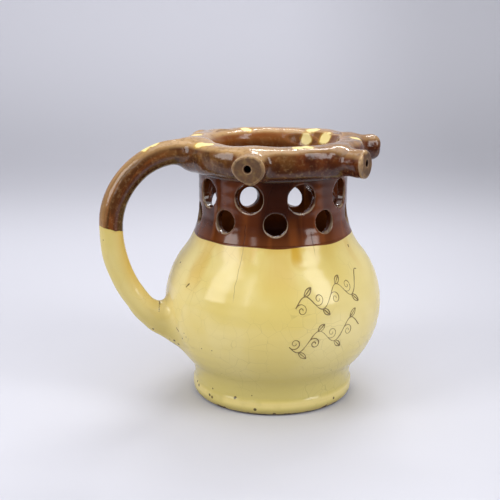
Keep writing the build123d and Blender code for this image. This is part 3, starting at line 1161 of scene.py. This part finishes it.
def brown_coat(scene):
    """Brown glaze of the neck, drawn back to a tan line round the holes, with painted shade in the holes and
    under the rim and a painted highlight on the holes' lower edges.
    """
    coat = Coat("neck_coat", scene)
    b, c, s = coat.board, coat.colours, coat.sizes
    step = 2 * pi / s.holes_in_row
    rows = (
        (s.lower_hole_heading + step / 2, s.upper_hole_height, s.upper_hole),
        (s.lower_hole_heading, s.lower_hole_height, s.lower_hole),
    )
    edges, shaded_hole_walls = [], []
    for heading, height, size in rows:
        turn = coat.angle - heading
        turn = turn - (turn / step).math("ROUND") * step
        side, rise = turn.math("SINE") * coat.radius, coat.z - height
        away = (side * side + rise * rise).math("SQRT") - size / 2
        line = (away - 0.2 * MM).math("ABSOLUTE").step(0.55 * MM, 0.1 * MM)
        # The tan line is thin glaze, made stronger on each hole's lower edge as a painted highlight
        edges.append(line * (rise.step(0.45 * size, -0.45 * size) * 0.7 + 0.2))
        # Painted shade on the walls inside each hole
        shaded_hole_walls.append(away.step(0.4 * MM, -0.2 * MM))
    outer = coat.radius.step(s.neck_radius - 1.8 * MM, s.neck_radius - 0.8 * MM)
    edge = reduce(Wire.high, edges) * outer * b.noise(coat.place, 160.0, 2.0).step(0.3, 0.55)
    crack = coat.cracks(NECK_CRACKS)
    tone = coat.over(
        coat.brown(),
        (coat.runs(NECK_RUNS), c.amber_brown),
        # Painted shade under the rim, on the neck's top and the coil
        (coat.z.step(s.neck_top - 5 * MM, s.neck_top - 3 * MM) * 0.7, c.dark_brown),
        (reduce(Wire.high, shaded_hole_walls) * 0.6, c.dark_brown),
        (edge, c.tan),
        (crack * 0.8, c.dark_brown),
    )
    roughness = b.noise(coat.place, 45.0, 3.0) * 0.1 + 0.08
    return coat.finish(tone, roughness, coat.orange_peel() - crack * (0.06 * MM))


def worn_and_top_lit(coat, tone, share):
    """The rim's and the handle's glaze: thin and partly painted with top light on top, thin on ridges, flaked
    off, and where it has flaked.
    """
    b, c, bulge = coat.board, coat.colours, coat.painted("bulge")
    # Paler on top: thin glaze, and partly painted light and sheen from above
    thin = coat.painted("up").step(0.35, 0.78) * b.noise(coat.place, 95.0, 3.0, 0.6).step(0.1, 0.5) * share
    mottle = b.noise(coat.place, 430.0, 3.0, 0.65)
    away = coat.spots(FLAKES, 0.6)
    flake = away.step(1.05, 0.75)
    tone = coat.over(
        tone,
        (thin.high(mottle.step(0.48, 0.75) * 0.2), c.caramel),
        (mottle.step(0.5, 0.3) * thin * 0.5, c.khaki),
        (bulge.step(0.22, 0.7) * 0.55, c.tan),
        (bulge.step(0.06, -0.12) * 0.5, c.dark_brown),
        (away.step(1.3, 0.95) * 0.5, c.amber),
        (flake, c.chip),
    )
    return tone, flake


def rim_tone(coat):
    """Brown glaze of the rim: greenish to the left, redder elsewhere, dark below. Its patches come with it."""
    b, c, s = coat.board, coat.colours, coat.sizes
    patch, fine = b.noise(coat.place, 42.0, 3.0), b.noise(coat.place, 150.0, 3.0)
    redder = (coat.x / (60 * MM) + (patch - 0.5) * 4.0).step(-1.2, 0.1)
    inside = coat.radius.step(s.rim_radius - 1 * MM, s.rim_radius - 6 * MM)
    tone = coat.over(
        c.khaki,
        (redder.high(inside * 0.8), c.brown),
        (fine.step(0.5, 0.72) * 0.35, c.amber_brown),
        (fine.step(0.5, 0.34) * 0.6, c.dark_brown),
        (inside * 0.9, c.amber_brown),
        (inside * patch.step(0.35, 0.65) * 0.25, c.caramel),
        (coat.z.step(s.rim_height + 4 * MM, s.rim_height - 5 * MM) * 0.7, c.dark_brown),
    )
    return tone, patch


def rim_coat(scene):
    """Brown glaze of the rim and the spouts, with the bare cut ends of the spouts, a painted highlight on their
    upper edges and painted shade round their bores.
    """
    coat = Coat("rim_coat", scene)
    b, c = coat.board, coat.colours
    tone, patch = rim_tone(coat)
    share = 0.95 - coat.x.step(-40 * MM, 10 * MM) * (0.42 - coat.y.step(0.0, 30 * MM) * 0.3)
    tone, flake = worn_and_top_lit(coat, tone, share)
    cut, bore, bulge, up = [coat.painted(name) for name in ("cut", "bore", "bulge", "up")]
    grain, stain = b.noise(coat.place, 520.0, 4.0), b.noise(coat.place, 190.0, 4.0, 0.65)
    face = coat.over(
        c.khaki,
        (grain.step(0.4, 0.7) * 0.12, c.olive),
        (stain.step(0.36, 0.56) * 0.8, c.clay),
        (stain.step(0.6, 0.66) * 0.7, c.dark_brown),
    )
    # Pale edges round the spouts' ends: thin glaze, made stronger where they face up as a painted highlight
    edge = bulge.step(0.3, 0.65) * (up.step(-0.4, 0.6) * 0.4 + 0.25)
    tone = coat.over(
        tone,
        (cut * 0.9, face),
        (edge * grain.step(0.25, 0.55), c.caramel),
        # Painted shade at the mouth of each spout's bore
        (bore.step(0.75, 1.0), c.dark_brown),
    )
    roughness = cut.high(flake * 0.6) * 0.5 + patch * 0.12 + 0.07
    height = coat.hand_marks() + grain * cut * (0.25 * MM)
    return coat.finish(tone, roughness, height)


def handle_coat(scene):
    """Brown glaze of the handle's upper part, with streaks along it, a painted highlight on its outer side and
    painted shade on its inner side, over the honey glaze of its lower part.
    """
    coat = Coat("handle_coat", scene)
    b, c = coat.board, coat.colours
    outside, along = coat.painted("outside"), coat.painted("along")
    place = b.join(outside, coat.y, along * 0.08)
    streak, fine = b.noise(place, 170.0, 2.0), b.noise(place, 480.0, 2.0)
    tone = coat.over(
        c.brown,
        (outside.step(-3.5 * MM, 5 * MM), c.khaki),
        (streak.step(0.46, 0.64) * 0.55, c.dark_brown),
        (fine.step(0.46, 0.66) * 0.5, c.amber_brown),
        # Painted shade on the handle's inner side, which faces the belly
        (outside.step(1.5 * MM, -5.0 * MM) * 0.85, c.dark_brown),
        # Painted highlight along the handle's outer side
        (outside.step(2.5 * MM, 7.0 * MM) * (fine * 0.7), c.caramel),
        (along.step(40 * MM, 12 * MM), rim_tone(coat)[0]),
    )
    tone, flake = worn_and_top_lit(coat, tone, 0.95 - along.step(10 * MM, 50 * MM) * 0.6)
    ragged = (b.noise(b.join(outside, coat.y, 0.0), 160.0, 2.0) - 0.5) * (2.4 * MM)
    slope, reach, height = 0.27, 95.5 * MM, 112 * MM
    depth = (-coat.x - reach) * slope + height + ragged - coat.z
    inner = outside.step(2 * MM, -7 * MM) * coat.z.step(60 * MM, 90 * MM)
    honey = coat.over(
        coat.honey(depth + 1.5 * MM),
        (outside.step(-4 * MM, 5 * MM) * 0.6, c.olive),
        (inner * 0.45 + 0.1, c.amber),
    )
    tone = coat.over(
        tone,
        (depth.step(-0.15 * MM, 0.15 * MM), honey),
        (coat.spots(SPECKS).step(1.1, 0.9) * 0.85, c.dark_brown),
    )
    roughness = flake * 0.4 + b.noise(coat.place, 45.0, 3.0) * 0.12 + 0.09
    marks = coat.hand_marks() * along.step(190 * MM, 150 * MM) + coat.orange_peel()
    return coat.finish(tone, roughness, marks)


def vine(start, reach, lift, side):
    """A scrolling vine as flat lines in millimetres: a waving stem, with a curl and a leaf at each bend."""
    pitch, wave, curl_turns, leaf_half, ahead, aside = 24.0, 5.0, 1.45, 1.5, 0.75, 0.66

    def stem(u):
        return np.stack([start + u, side * wave * np.sin(2 * pi * u / pitch) + lift * u], -1)

    lines = [stem(np.linspace(0, reach, 120))]
    for k in range(int(reach / (pitch / 2))):
        u = k * pitch / 2 + 0.6
        turn = side * (-1 if k % 2 == 0 else 1)
        way = stem(np.array(u + 0.1)) - stem(np.array(u))
        way /= np.linalg.norm(way)
        across = turn * np.array([-way[1], way[0]])
        size = 3.9 + 0.5 * sin(3.1 * k)
        share = np.linspace(0, 1, 56)
        angle = np.arctan2(-across[1], -across[0]) + turn * 2 * pi * curl_turns * share
        shrink = size * (1 - 0.86 * share**0.85)
        middle = stem(np.array(u)) + across * size
        lines.append(middle + np.stack([shrink * np.cos(angle), shrink * np.sin(angle)], -1))
        bend = stem(np.array(u + 0.22 * pitch))
        outward = np.array([ahead, -aside * turn])
        beside = np.array([aside * turn, ahead])
        share = np.linspace(0, 1, 24)[:, None]
        size = 6.4 + 0.8 * cos(2.3 * k)
        for edge in (-leaf_half, leaf_half, 0.0):
            lines.append(bend + outward * size * share + beside * edge * np.sin(pi * share) ** 0.8)
    return lines


def vine_rows():
    """Two rows of vine, the lower one mirrored."""
    upper = [line + (0.0, 14.0) for line in vine(4, 56, 0.2, 1)]
    lower = [line - (0.0, 9.0) for line in vine(0, 50, 0.2, -1)]
    return upper + lower


def drawn_lines_tree():
    """Geometry nodes that lay flat drawn lines round the belly and give them the width of a pen stroke."""
    inputs = {
        "Lines": "Object",
        "Pot": "Object",
        "Heading": "Float",
        "Height": "Float",
        "Pot radius": "Float",
        "Stroke": "Float",
        "Glaze": "Material",
    }
    b, given = new_tree("Drawn lines", inputs)
    pen_faces, pen_reach = 6, 0.1
    lines = b.node("GeometryNodeObjectInfo", None, {"Object": given}, "Geometry")
    pot = b.node("GeometryNodeObjectInfo", None, {"Object": given["Pot"]}, "Geometry")
    here = b.node("GeometryNodeInputPosition")
    spot = b.split(here)
    heading, radius = spot["X"] / given["Pot radius"] + given["Heading"], given["Pot radius"]
    east, north = heading.math("COSINE") * radius, heading.math("SINE") * radius
    flat = b.join(east, north, spot["Y"] + given["Height"])
    bent = b.node("GeometryNodeSetPosition", None, {"Geometry": lines, "Position": flat})
    inward = b.vector("SUBTRACT", b.join(0.0, 0.0, given["Height"]), here)
    sockets = {
        "Target Geometry": pot,
        "Source Position": here,
        "Ray Direction": b.vector("MULTIPLY", inward, (1.0, 1.0, 0.0)),
        "Ray Length": pen_reach,
    }
    on_pot = b.node("GeometryNodeRaycast", None, sockets, "Hit Position")
    laid = b.node("GeometryNodeSetPosition", None, {"Geometry": bent, "Position": on_pot})
    press = b.noise(here, 130.0, 1.0).step(0.3, 0.7) * 0.8 + 0.6
    sockets = {"Resolution": pen_faces, "Radius": given["Stroke"] * 0.5}
    pen = b.node("GeometryNodeCurvePrimitiveCircle", None, sockets)
    sockets = {"Curve": laid, "Profile Curve": pen, "Scale": press, "Fill Caps": True}
    strokes = b.node("GeometryNodeCurveToMesh", None, sockets)
    return end_tree(b, strokes, given["Glaze"])


def drawn_mesh(s, pot_mesh, drawings, material):
    """The pen strokes of the ornament, laid on the finished pot."""
    flat = [[(across * MM, up * MM, 0) for across, up in points] for points in drawings]
    lines, pot = line_object("vine_lines", flat), linked("vine_pot", pot_mesh)
    piece = linked("vine_work", bpy.data.meshes.new("vine"))
    values = {
        "Lines": lines,
        "Pot": pot,
        "Heading": s.vine_heading,
        "Height": s.vine_height,
        "Pot radius": s.belly_radius + 2 * MM,
        "Stroke": s.vine_stroke,
        "Glaze": material,
    }
    add_nodes(piece, drawn_lines_tree(), values)
    mesh = made_plain(piece)
    bpy.data.objects.remove(lines)
    bpy.data.objects.remove(pot)
    return mesh


def seam_cut(s, heading, side):
    """The plane between rim and spout or handle, and its way out: side is 1 for the rim, -1 beyond it."""
    outward = (cos(radians(heading)), sin(radians(heading)), 0)
    return tuple(s.seam * k for k in outward), tuple(side * k for k in outward)


class JUG_OT_thrown_belly(bpy.types.Operator):
    """Throw the belly, with its foot and floor"""

    bl_idname = "jug.thrown_belly"
    bl_label = "Thrown belly"

    def execute(self, context):
        s = context.scene.jug_sizes
        outside = np.concatenate([foot_side(s), pot_side(s, 0)])
        outside = outside[outside[:, 1] < s.joint_height]
        soft_edge, row_height = 0.35 * MM, 0.45 * MM
        outside = softened(outside, soft_edge, row_height)
        above = np.flatnonzero(outside[:, 1] > s.waist_height)
        outside = np.delete(outside, above[1:-1:2], axis=0)
        top_radius = np.interp(s.joint_height, *pot_side(s, 0).T[::-1])
        inside = pot_side(s, s.wall)
        inner_radius = np.interp(s.joint_height, *inside.T[::-1])
        inside = inside[inside[:, 1] < s.joint_height - 0.3 * MM][::-1]
        corner = s.waist_height - s.floor
        turn = np.linspace(0, -pi / 2, 12)[1:]
        inner_waist = s.waist_radius - s.wall
        bend = inner_waist - corner + corner * np.cos(turn)
        bottom = np.stack([bend, s.waist_height + corner * np.sin(turn)], 1)
        face = s.foot_radius - s.foot_tuck
        rings = 24
        under = np.stack([np.linspace(0, face, rings, endpoint=False), np.zeros(rings)], 1)
        over = np.stack([np.linspace(bottom[-1, 0], 0, rings)[1:], np.full(rings - 1, s.floor)], 1)
        top = [(top_radius, s.joint_height), (inner_radius, s.joint_height)]
        points = np.concatenate([under, outside, top, inside[::3], bottom, over])
        material = honey_coat(context.scene)
        mesh = thrown_mesh("thrown_belly", s, points, s.wobble, material)
        tidy_mesh(mesh)
        plain = len(mesh.vertices)
        strokes = drawn_mesh(s, mesh, vine_rows(), material)
        whole = bmesh.new()
        whole.from_mesh(mesh)
        whole.from_mesh(strokes)
        whole.to_mesh(mesh)
        whole.free()
        paint(mesh, "ink", np.arange(len(mesh.vertices)) >= plain)
        x, y, z = points_of(mesh).T
        side = pot_side(s, 0.55 * s.wall)
        paint(mesh, "inside", (np.hypot(x, y) < np.interp(z, side[:, 1], side[:, 0])) & (z > 0.6 * s.floor))
        new_piece("thrown_belly_glazed", mesh, material, ["thrown_belly"])
        return {"FINISHED"}


class JUG_OT_pierced_neck(bpy.types.Operator):
    """Throw the neck and pierce its two rows of holes"""

    bl_idname = "jug.pierced_neck"
    bl_label = "Pierced neck"

    def execute(self, context):
        s = context.scene.jug_sizes
        low = s.joint_height - 3 * MM
        outside, inside = pot_side(s, 0), pot_side(s, s.wall)
        outside, inside = outside[outside[:, 1] > low], inside[inside[:, 1] > low][::-1]
        points = np.concatenate([outside, inside, outside[:1]])
        material = brown_coat(context.scene)
        tree = pierced_wall_tree()
        values = {
            "Holes": s.holes_in_row,
            "Neck radius": s.neck_radius,
            "Upper radius": s.upper_hole / 2,
            "Upper height": s.upper_hole_height,
            "Upper heading": s.lower_hole_heading + pi / s.holes_in_row,
            "Lower radius": s.lower_hole / 2,
            "Lower height": s.lower_hole_height,
            "Lower heading": s.lower_hole_heading,
            "Glaze": material,
        }

        def pierce(piece):
            add_nodes(piece, tree, values)
            remesh = piece.modifiers.new("Even skin", "REMESH")
            remesh.mode, remesh.voxel_size, remesh.use_smooth_shade = "VOXEL", NECK_CELL, True
            smooth = piece.modifiers.new("Rounded edges", "SMOOTH")
            smooth.factor, smooth.iterations = 0.5, 8

        mesh = thrown_mesh("pierced_neck", s, points, s.wobble, material, pierce)
        tidy_mesh(mesh, cuts=[((0, 0, s.joint_height), (0, 0, -1))])
        new_piece("pierced_neck_glazed", mesh, material, ["pierced_neck"])
        return {"FINISHED"}


class JUG_OT_rim_luting(bpy.types.Operator):
    """Roll the coil of clay under the rim"""

    bl_idname = "jug.rim_luting"
    bl_label = "Coil under the rim"

    def execute(self, context):
        s = context.scene.jug_sizes
        turn = np.linspace(0, 2 * pi, 40)
        radius, height = s.neck_radius - 1.4 * MM, s.neck_top - 1.6 * MM
        points = np.stack([radius + s.coil / 2 * np.cos(turn), height + s.coil / 2 * np.sin(turn) * 1.1], 1)
        material = bpy.data.materials["neck_coat"]
        wobble = 0.9 * MM
        mesh = thrown_mesh("rim_luting", s, points, wobble, material)
        tidy_mesh(mesh)
        new_piece("rim_luting_glazed", mesh, material, ["rim_luting"])
        return {"FINISHED"}


class JUG_OT_hollow_rim(bpy.types.Operator):
    """Build the hollow rim, up to the spouts and the handle"""

    bl_idname = "jug.hollow_rim"
    bl_label = "Hollow rim"

    def execute(self, context):
        s = context.scene.jug_sizes
        built = HandBuilt(s)
        margin = 4 * MM
        reach = s.seam + margin
        low = (-reach, -reach, s.rim_height - RIM_ROOM)
        high = (reach, reach, s.rim_height + RIM_ROOM)
        mesh = clay_mesh("hollow_rim", built.rim, low, high, SKIN_CELL)
        headings = [180.0] + [heading for heading, *_ in SPOUTS.values()]
        tidy_mesh(mesh, cuts=[seam_cut(s, heading, 1) for heading in headings])
        round_shading(mesh, built.rim)
        material = rim_coat(context.scene)
        new_piece("hollow_rim_glazed", mesh, material, ["hollow_rim"])
        return {"FINISHED"}


class JUG_OT_spouts(bpy.types.Operator):
    """Build the four drinking spouts"""

    bl_idname = "jug.spouts"
    bl_label = "Spouts"

    def execute(self, context):
        s = context.scene.jug_sizes
        built = HandBuilt(s)
        material = bpy.data.materials["rim_coat"]
        half_room = 15 * MM
        for name, (heading, *_) in SPOUTS.items():
            low = (s.seam - 2 * MM, -half_room, s.rim_height - RIM_ROOM)
            high = (s.spout_tip + 4 * MM, half_room, s.rim_height + RIM_ROOM)
            mesh = clay_mesh(name, built.rim, low, high, SPOUT_CELL, radians(heading))
            tidy_mesh(mesh, cuts=[seam_cut(s, heading, -1)])
            _, off, _, end = built.spout(*points_of(mesh).T, name)
            paint(mesh, "cut", np.clip((end + 1.0 * MM) / (0.8 * MM), 0, 1))
            paint(mesh, "bore", np.clip((s.spout_bore / 2 + 3.2 * MM - off) / (3.0 * MM), 0, 1))
            round_shading(mesh, built.rim)
            new_piece(f"{name}_glazed", mesh, material, [name, f"{name}_luting"])
        return {"FINISHED"}


class JUG_OT_handle(bpy.types.Operator):
    """Pull the handle and lute it to the rim and the belly"""

    bl_idname = "jug.handle"
    bl_label = "Handle"

    def execute(self, context):
        s = context.scene.jug_sizes
        built = HandBuilt(s)
        half_room = 28 * MM
        low = (-115 * MM, -half_room, 20 * MM)
        high = (-s.seam + 12 * MM, half_room, s.rim_height + 14 * MM)
        mesh = clay_mesh("handle", built.handle, low, high, SKIN_CELL)
        tidy_mesh(mesh, cuts=[((-s.seam, 0, 0), (1, 0, 0))])
        round_shading(mesh, built.handle)
        x, _, z = points_of(mesh).T
        _, outside, along = line_place(built.line, -x, z)
        paint(mesh, "outside", outside)
        paint(mesh, "along", along)
        material = handle_coat(context.scene)
        nodes = ["handle", "handle_top_luting", "handle_root_luting"]
        new_piece("handle_glazed", mesh, material, nodes)
        return {"FINISHED"}


# Each lamp's heading from the camera and lift in degrees, its distance, width and height in metres, and power
LAMPS = {
    "top_box": (180.0, 80, 1.5, 1.4, 1.2, 13.0),
    "left_box": (-63.0, 30, 1.1, 0.42, 0.9, 6.9),
    "left_strip": (-29.0, 32, 1.1, 0.12, 0.8, 1.0),
    "right_box": (58.0, 30, 1.1, 0.38, 0.9, 7.0),
    "front_box": (8.0, 52, 1.3, 1.0, 0.7, 2.1),
    "crest_strip": (165.0, 50, 1.1, 0.6, 0.06, 4.6),
}


def backdrop_paper(set_up):
    """Paper of the floor and the backdrop, with painted shade and light from front to back and from side to
    side, and painted near black in reflections of the floor before the jug.
    """
    facing = set_up.camera_turn[2]
    material = bpy.data.materials.new("backdrop_paper")
    material.use_nodes = True
    b = Board(material.node_tree)
    spot = b.split(b.node("ShaderNodeTexCoord", None, None, "Object"))
    away = spot["Y"] * cos(facing) - spot["X"] * sin(facing)
    sideways = spot["X"] * cos(facing) + spot["Y"] * sin(facing)
    mirrored = b.node("ShaderNodeLightPath", None, None, "Is Glossy Ray")
    # Painted shade on the floor behind the jug, and painted light on the upper backdrop
    painted_shade_paper = [0.83 * c for c in set_up.backdrop[:3]] + [1.0]
    painted_light_paper = [1.2 * c for c in set_up.backdrop[:3]] + [1.0]
    tone = b.mix(away.step(0.35, 0.75), tuple(set_up.backdrop), painted_shade_paper)
    tone = b.mix(away.step(0.95, 1.4), tone, painted_light_paper)
    # Painted shade towards the right
    tone = b.mix(sideways.step(0.02, 0.35) * 0.2, tone, (0.0, 0.0, 0.0, 1.0))
    # Painted light far to the sides, where the lamps reach little
    tone = b.mix(sideways.math("ABSOLUTE").step(0.9, 2.2), tone, (0.9, 0.9, 0.94, 1.0))
    # Painted dark reflection: the floor before the jug shows near black in reflections only
    tone = b.mix((-away).step(0.18, 0.34) * mirrored, tone, (0.03, 0.03, 0.035, 1.0))
    shader = material.node_tree.nodes["Principled BSDF"]
    b.link(tone, shader.inputs["Base Color"])
    shader.inputs["Roughness"].default_value = 0.7
    return material


def lay_backdrop(set_up):
    """Lays the floor square to the camera, bent up behind the jug."""
    c, n = cos(set_up.camera_turn[2]), sin(set_up.camera_turn[2])
    bend, back, front, top, half_width = 0.55, 0.85, -8.0, 3.0, 12.0
    sweep = [(back + bend * cos(a), bend + bend * sin(a)) for a in np.linspace(-pi / 2, 0, 24)]
    line = [(front, 0.0)] + sweep + [(back + bend, top)]
    points = [(x * c - y * n, x * n + y * c, z) for x in (-half_width, half_width) for y, z in line]
    count = len(line)
    mesh = bpy.data.meshes.new("backdrop")
    mesh.from_pydata(points, [], [(i, i + count, i + count + 1, i + 1) for i in range(count - 1)])
    mesh.shade_smooth()
    mesh.materials.append(backdrop_paper(set_up))
    backdrop = linked("backdrop", mesh)


def hang_lamps(set_up):
    """Hangs the lamps round the jug, each turned to its middle. The front one leaves no reflection."""
    facing, middle = set_up.camera_turn[2], 0.1
    for name, (heading, lift, distance, width, height, power) in LAMPS.items():
        data = bpy.data.lights.new(name, "AREA")
        data.shape, data.size, data.size_y = "RECTANGLE", width, height
        data.energy = power * set_up.lamp_level
        lamp = linked(name, data)
        around = facing + radians(heading) - pi / 2
        flat = distance * cos(radians(lift))
        lamp.location = (flat * cos(around), flat * sin(around), middle + distance * sin(radians(lift)))
        lamp.rotation_euler = (radians(90 - lift), 0, facing + radians(heading))
        lamp.visible_glossy = name != "front_box"


def light_room(scene, set_up):
    """Lights the room evenly, darker in reflections, and shows the camera the backdrop's colour."""
    facing = set_up.camera_turn[2]
    world = bpy.data.worlds.new("room")
    world.use_nodes = True
    b = Board(world.node_tree)
    way = b.node("ShaderNodeTexCoord", None, None, "Generated")
    behind = b.vector("DOT_PRODUCT", way, (sin(facing), -cos(facing), 0.0), out="Value")
    ray = b.node("ShaderNodeLightPath", None, None, "Is Camera Ray")
    dark = ray["Is Glossy Ray"] * (behind.step(0.85, 0.98) * 0.2 + 0.7)
    room = b.mix(dark, (0.93, 0.94, 1.0, 1.0), (0.02, 0.02, 0.025, 1.0))
    light = world.node_tree.nodes["Background"]
    b.link(room, light.inputs["Color"])
    light.inputs["Strength"].default_value = set_up.world_level
    shown = b.node("ShaderNodeBackground", None, {"Color": tuple(set_up.backdrop), "Strength": 1.0})
    both = b.node("ShaderNodeMixShader", None, {0: ray, 1: Wire(b, light.outputs[0]), 2: shown})
    b.link(both, world.node_tree.nodes["World Output"].inputs["Surface"])
    scene.world = world


def set_camera(scene, set_up):
    """Stands the camera where the jug is seen from."""
    data = bpy.data.cameras.new("camera")
    data.lens, data.sensor_width = set_up.camera_lens, 36.0
    camera = linked("camera", data)
    camera.location, camera.rotation_euler = set_up.camera_place, set_up.camera_turn
    scene.camera = camera
    scene.view_settings.view_transform = "Standard"


class JUG_OT_studio(bpy.types.Operator):
    """Set up the floor, the light and the camera"""

    bl_idname = "jug.studio"
    bl_label = "Studio"

    def execute(self, context):
        scene, set_up = context.scene, context.scene.studio_set
        lay_backdrop(set_up)
        hang_lamps(set_up)
        light_room(scene, set_up)
        set_camera(scene, set_up)
        return {"FINISHED"}


PIECES = (
    JUG_OT_thrown_belly,
    JUG_OT_pierced_neck,
    JUG_OT_rim_luting,
    JUG_OT_hollow_rim,
    JUG_OT_spouts,
    JUG_OT_handle,
    JUG_OT_studio,
)


class JUG_PT_panel(bpy.types.Panel):
    """Lists the jug's pieces"""

    bl_idname = "JUG_PT_panel"
    bl_label = "Puzzle jug"
    bl_space_type = "VIEW_3D"
    bl_region_type = "UI"
    bl_category = "Jug"

    def draw(self, context):
        for operator in PIECES:
            self.layout.operator(operator.bl_idname)


CLASSES = (JugSizes, GlazeColours, StudioSet, *PIECES, JUG_PT_panel)
GROUPS = {"jug_sizes": JugSizes, "glaze_colours": GlazeColours, "studio_set": StudioSet}


def register():
    """Registers the classes and gives the scene its sizes and colours."""
    for kind in CLASSES:
        bpy.utils.register_class(kind)
    for name, kind in GROUPS.items():
        setattr(bpy.types.Scene, name, PointerProperty(type=kind))


def unregister():
    """Takes back what register did."""
    for name in GROUPS:
        delattr(bpy.types.Scene, name)
    for kind in reversed(CLASSES):
        bpy.utils.unregister_class(kind)


def main():
    """Builds the jug piece by piece."""
    register()
    for operator in PIECES:
        group, name = operator.bl_idname.split(".")
        getattr(getattr(bpy.ops, group), name)()


if __name__ == "__main__":
    main()
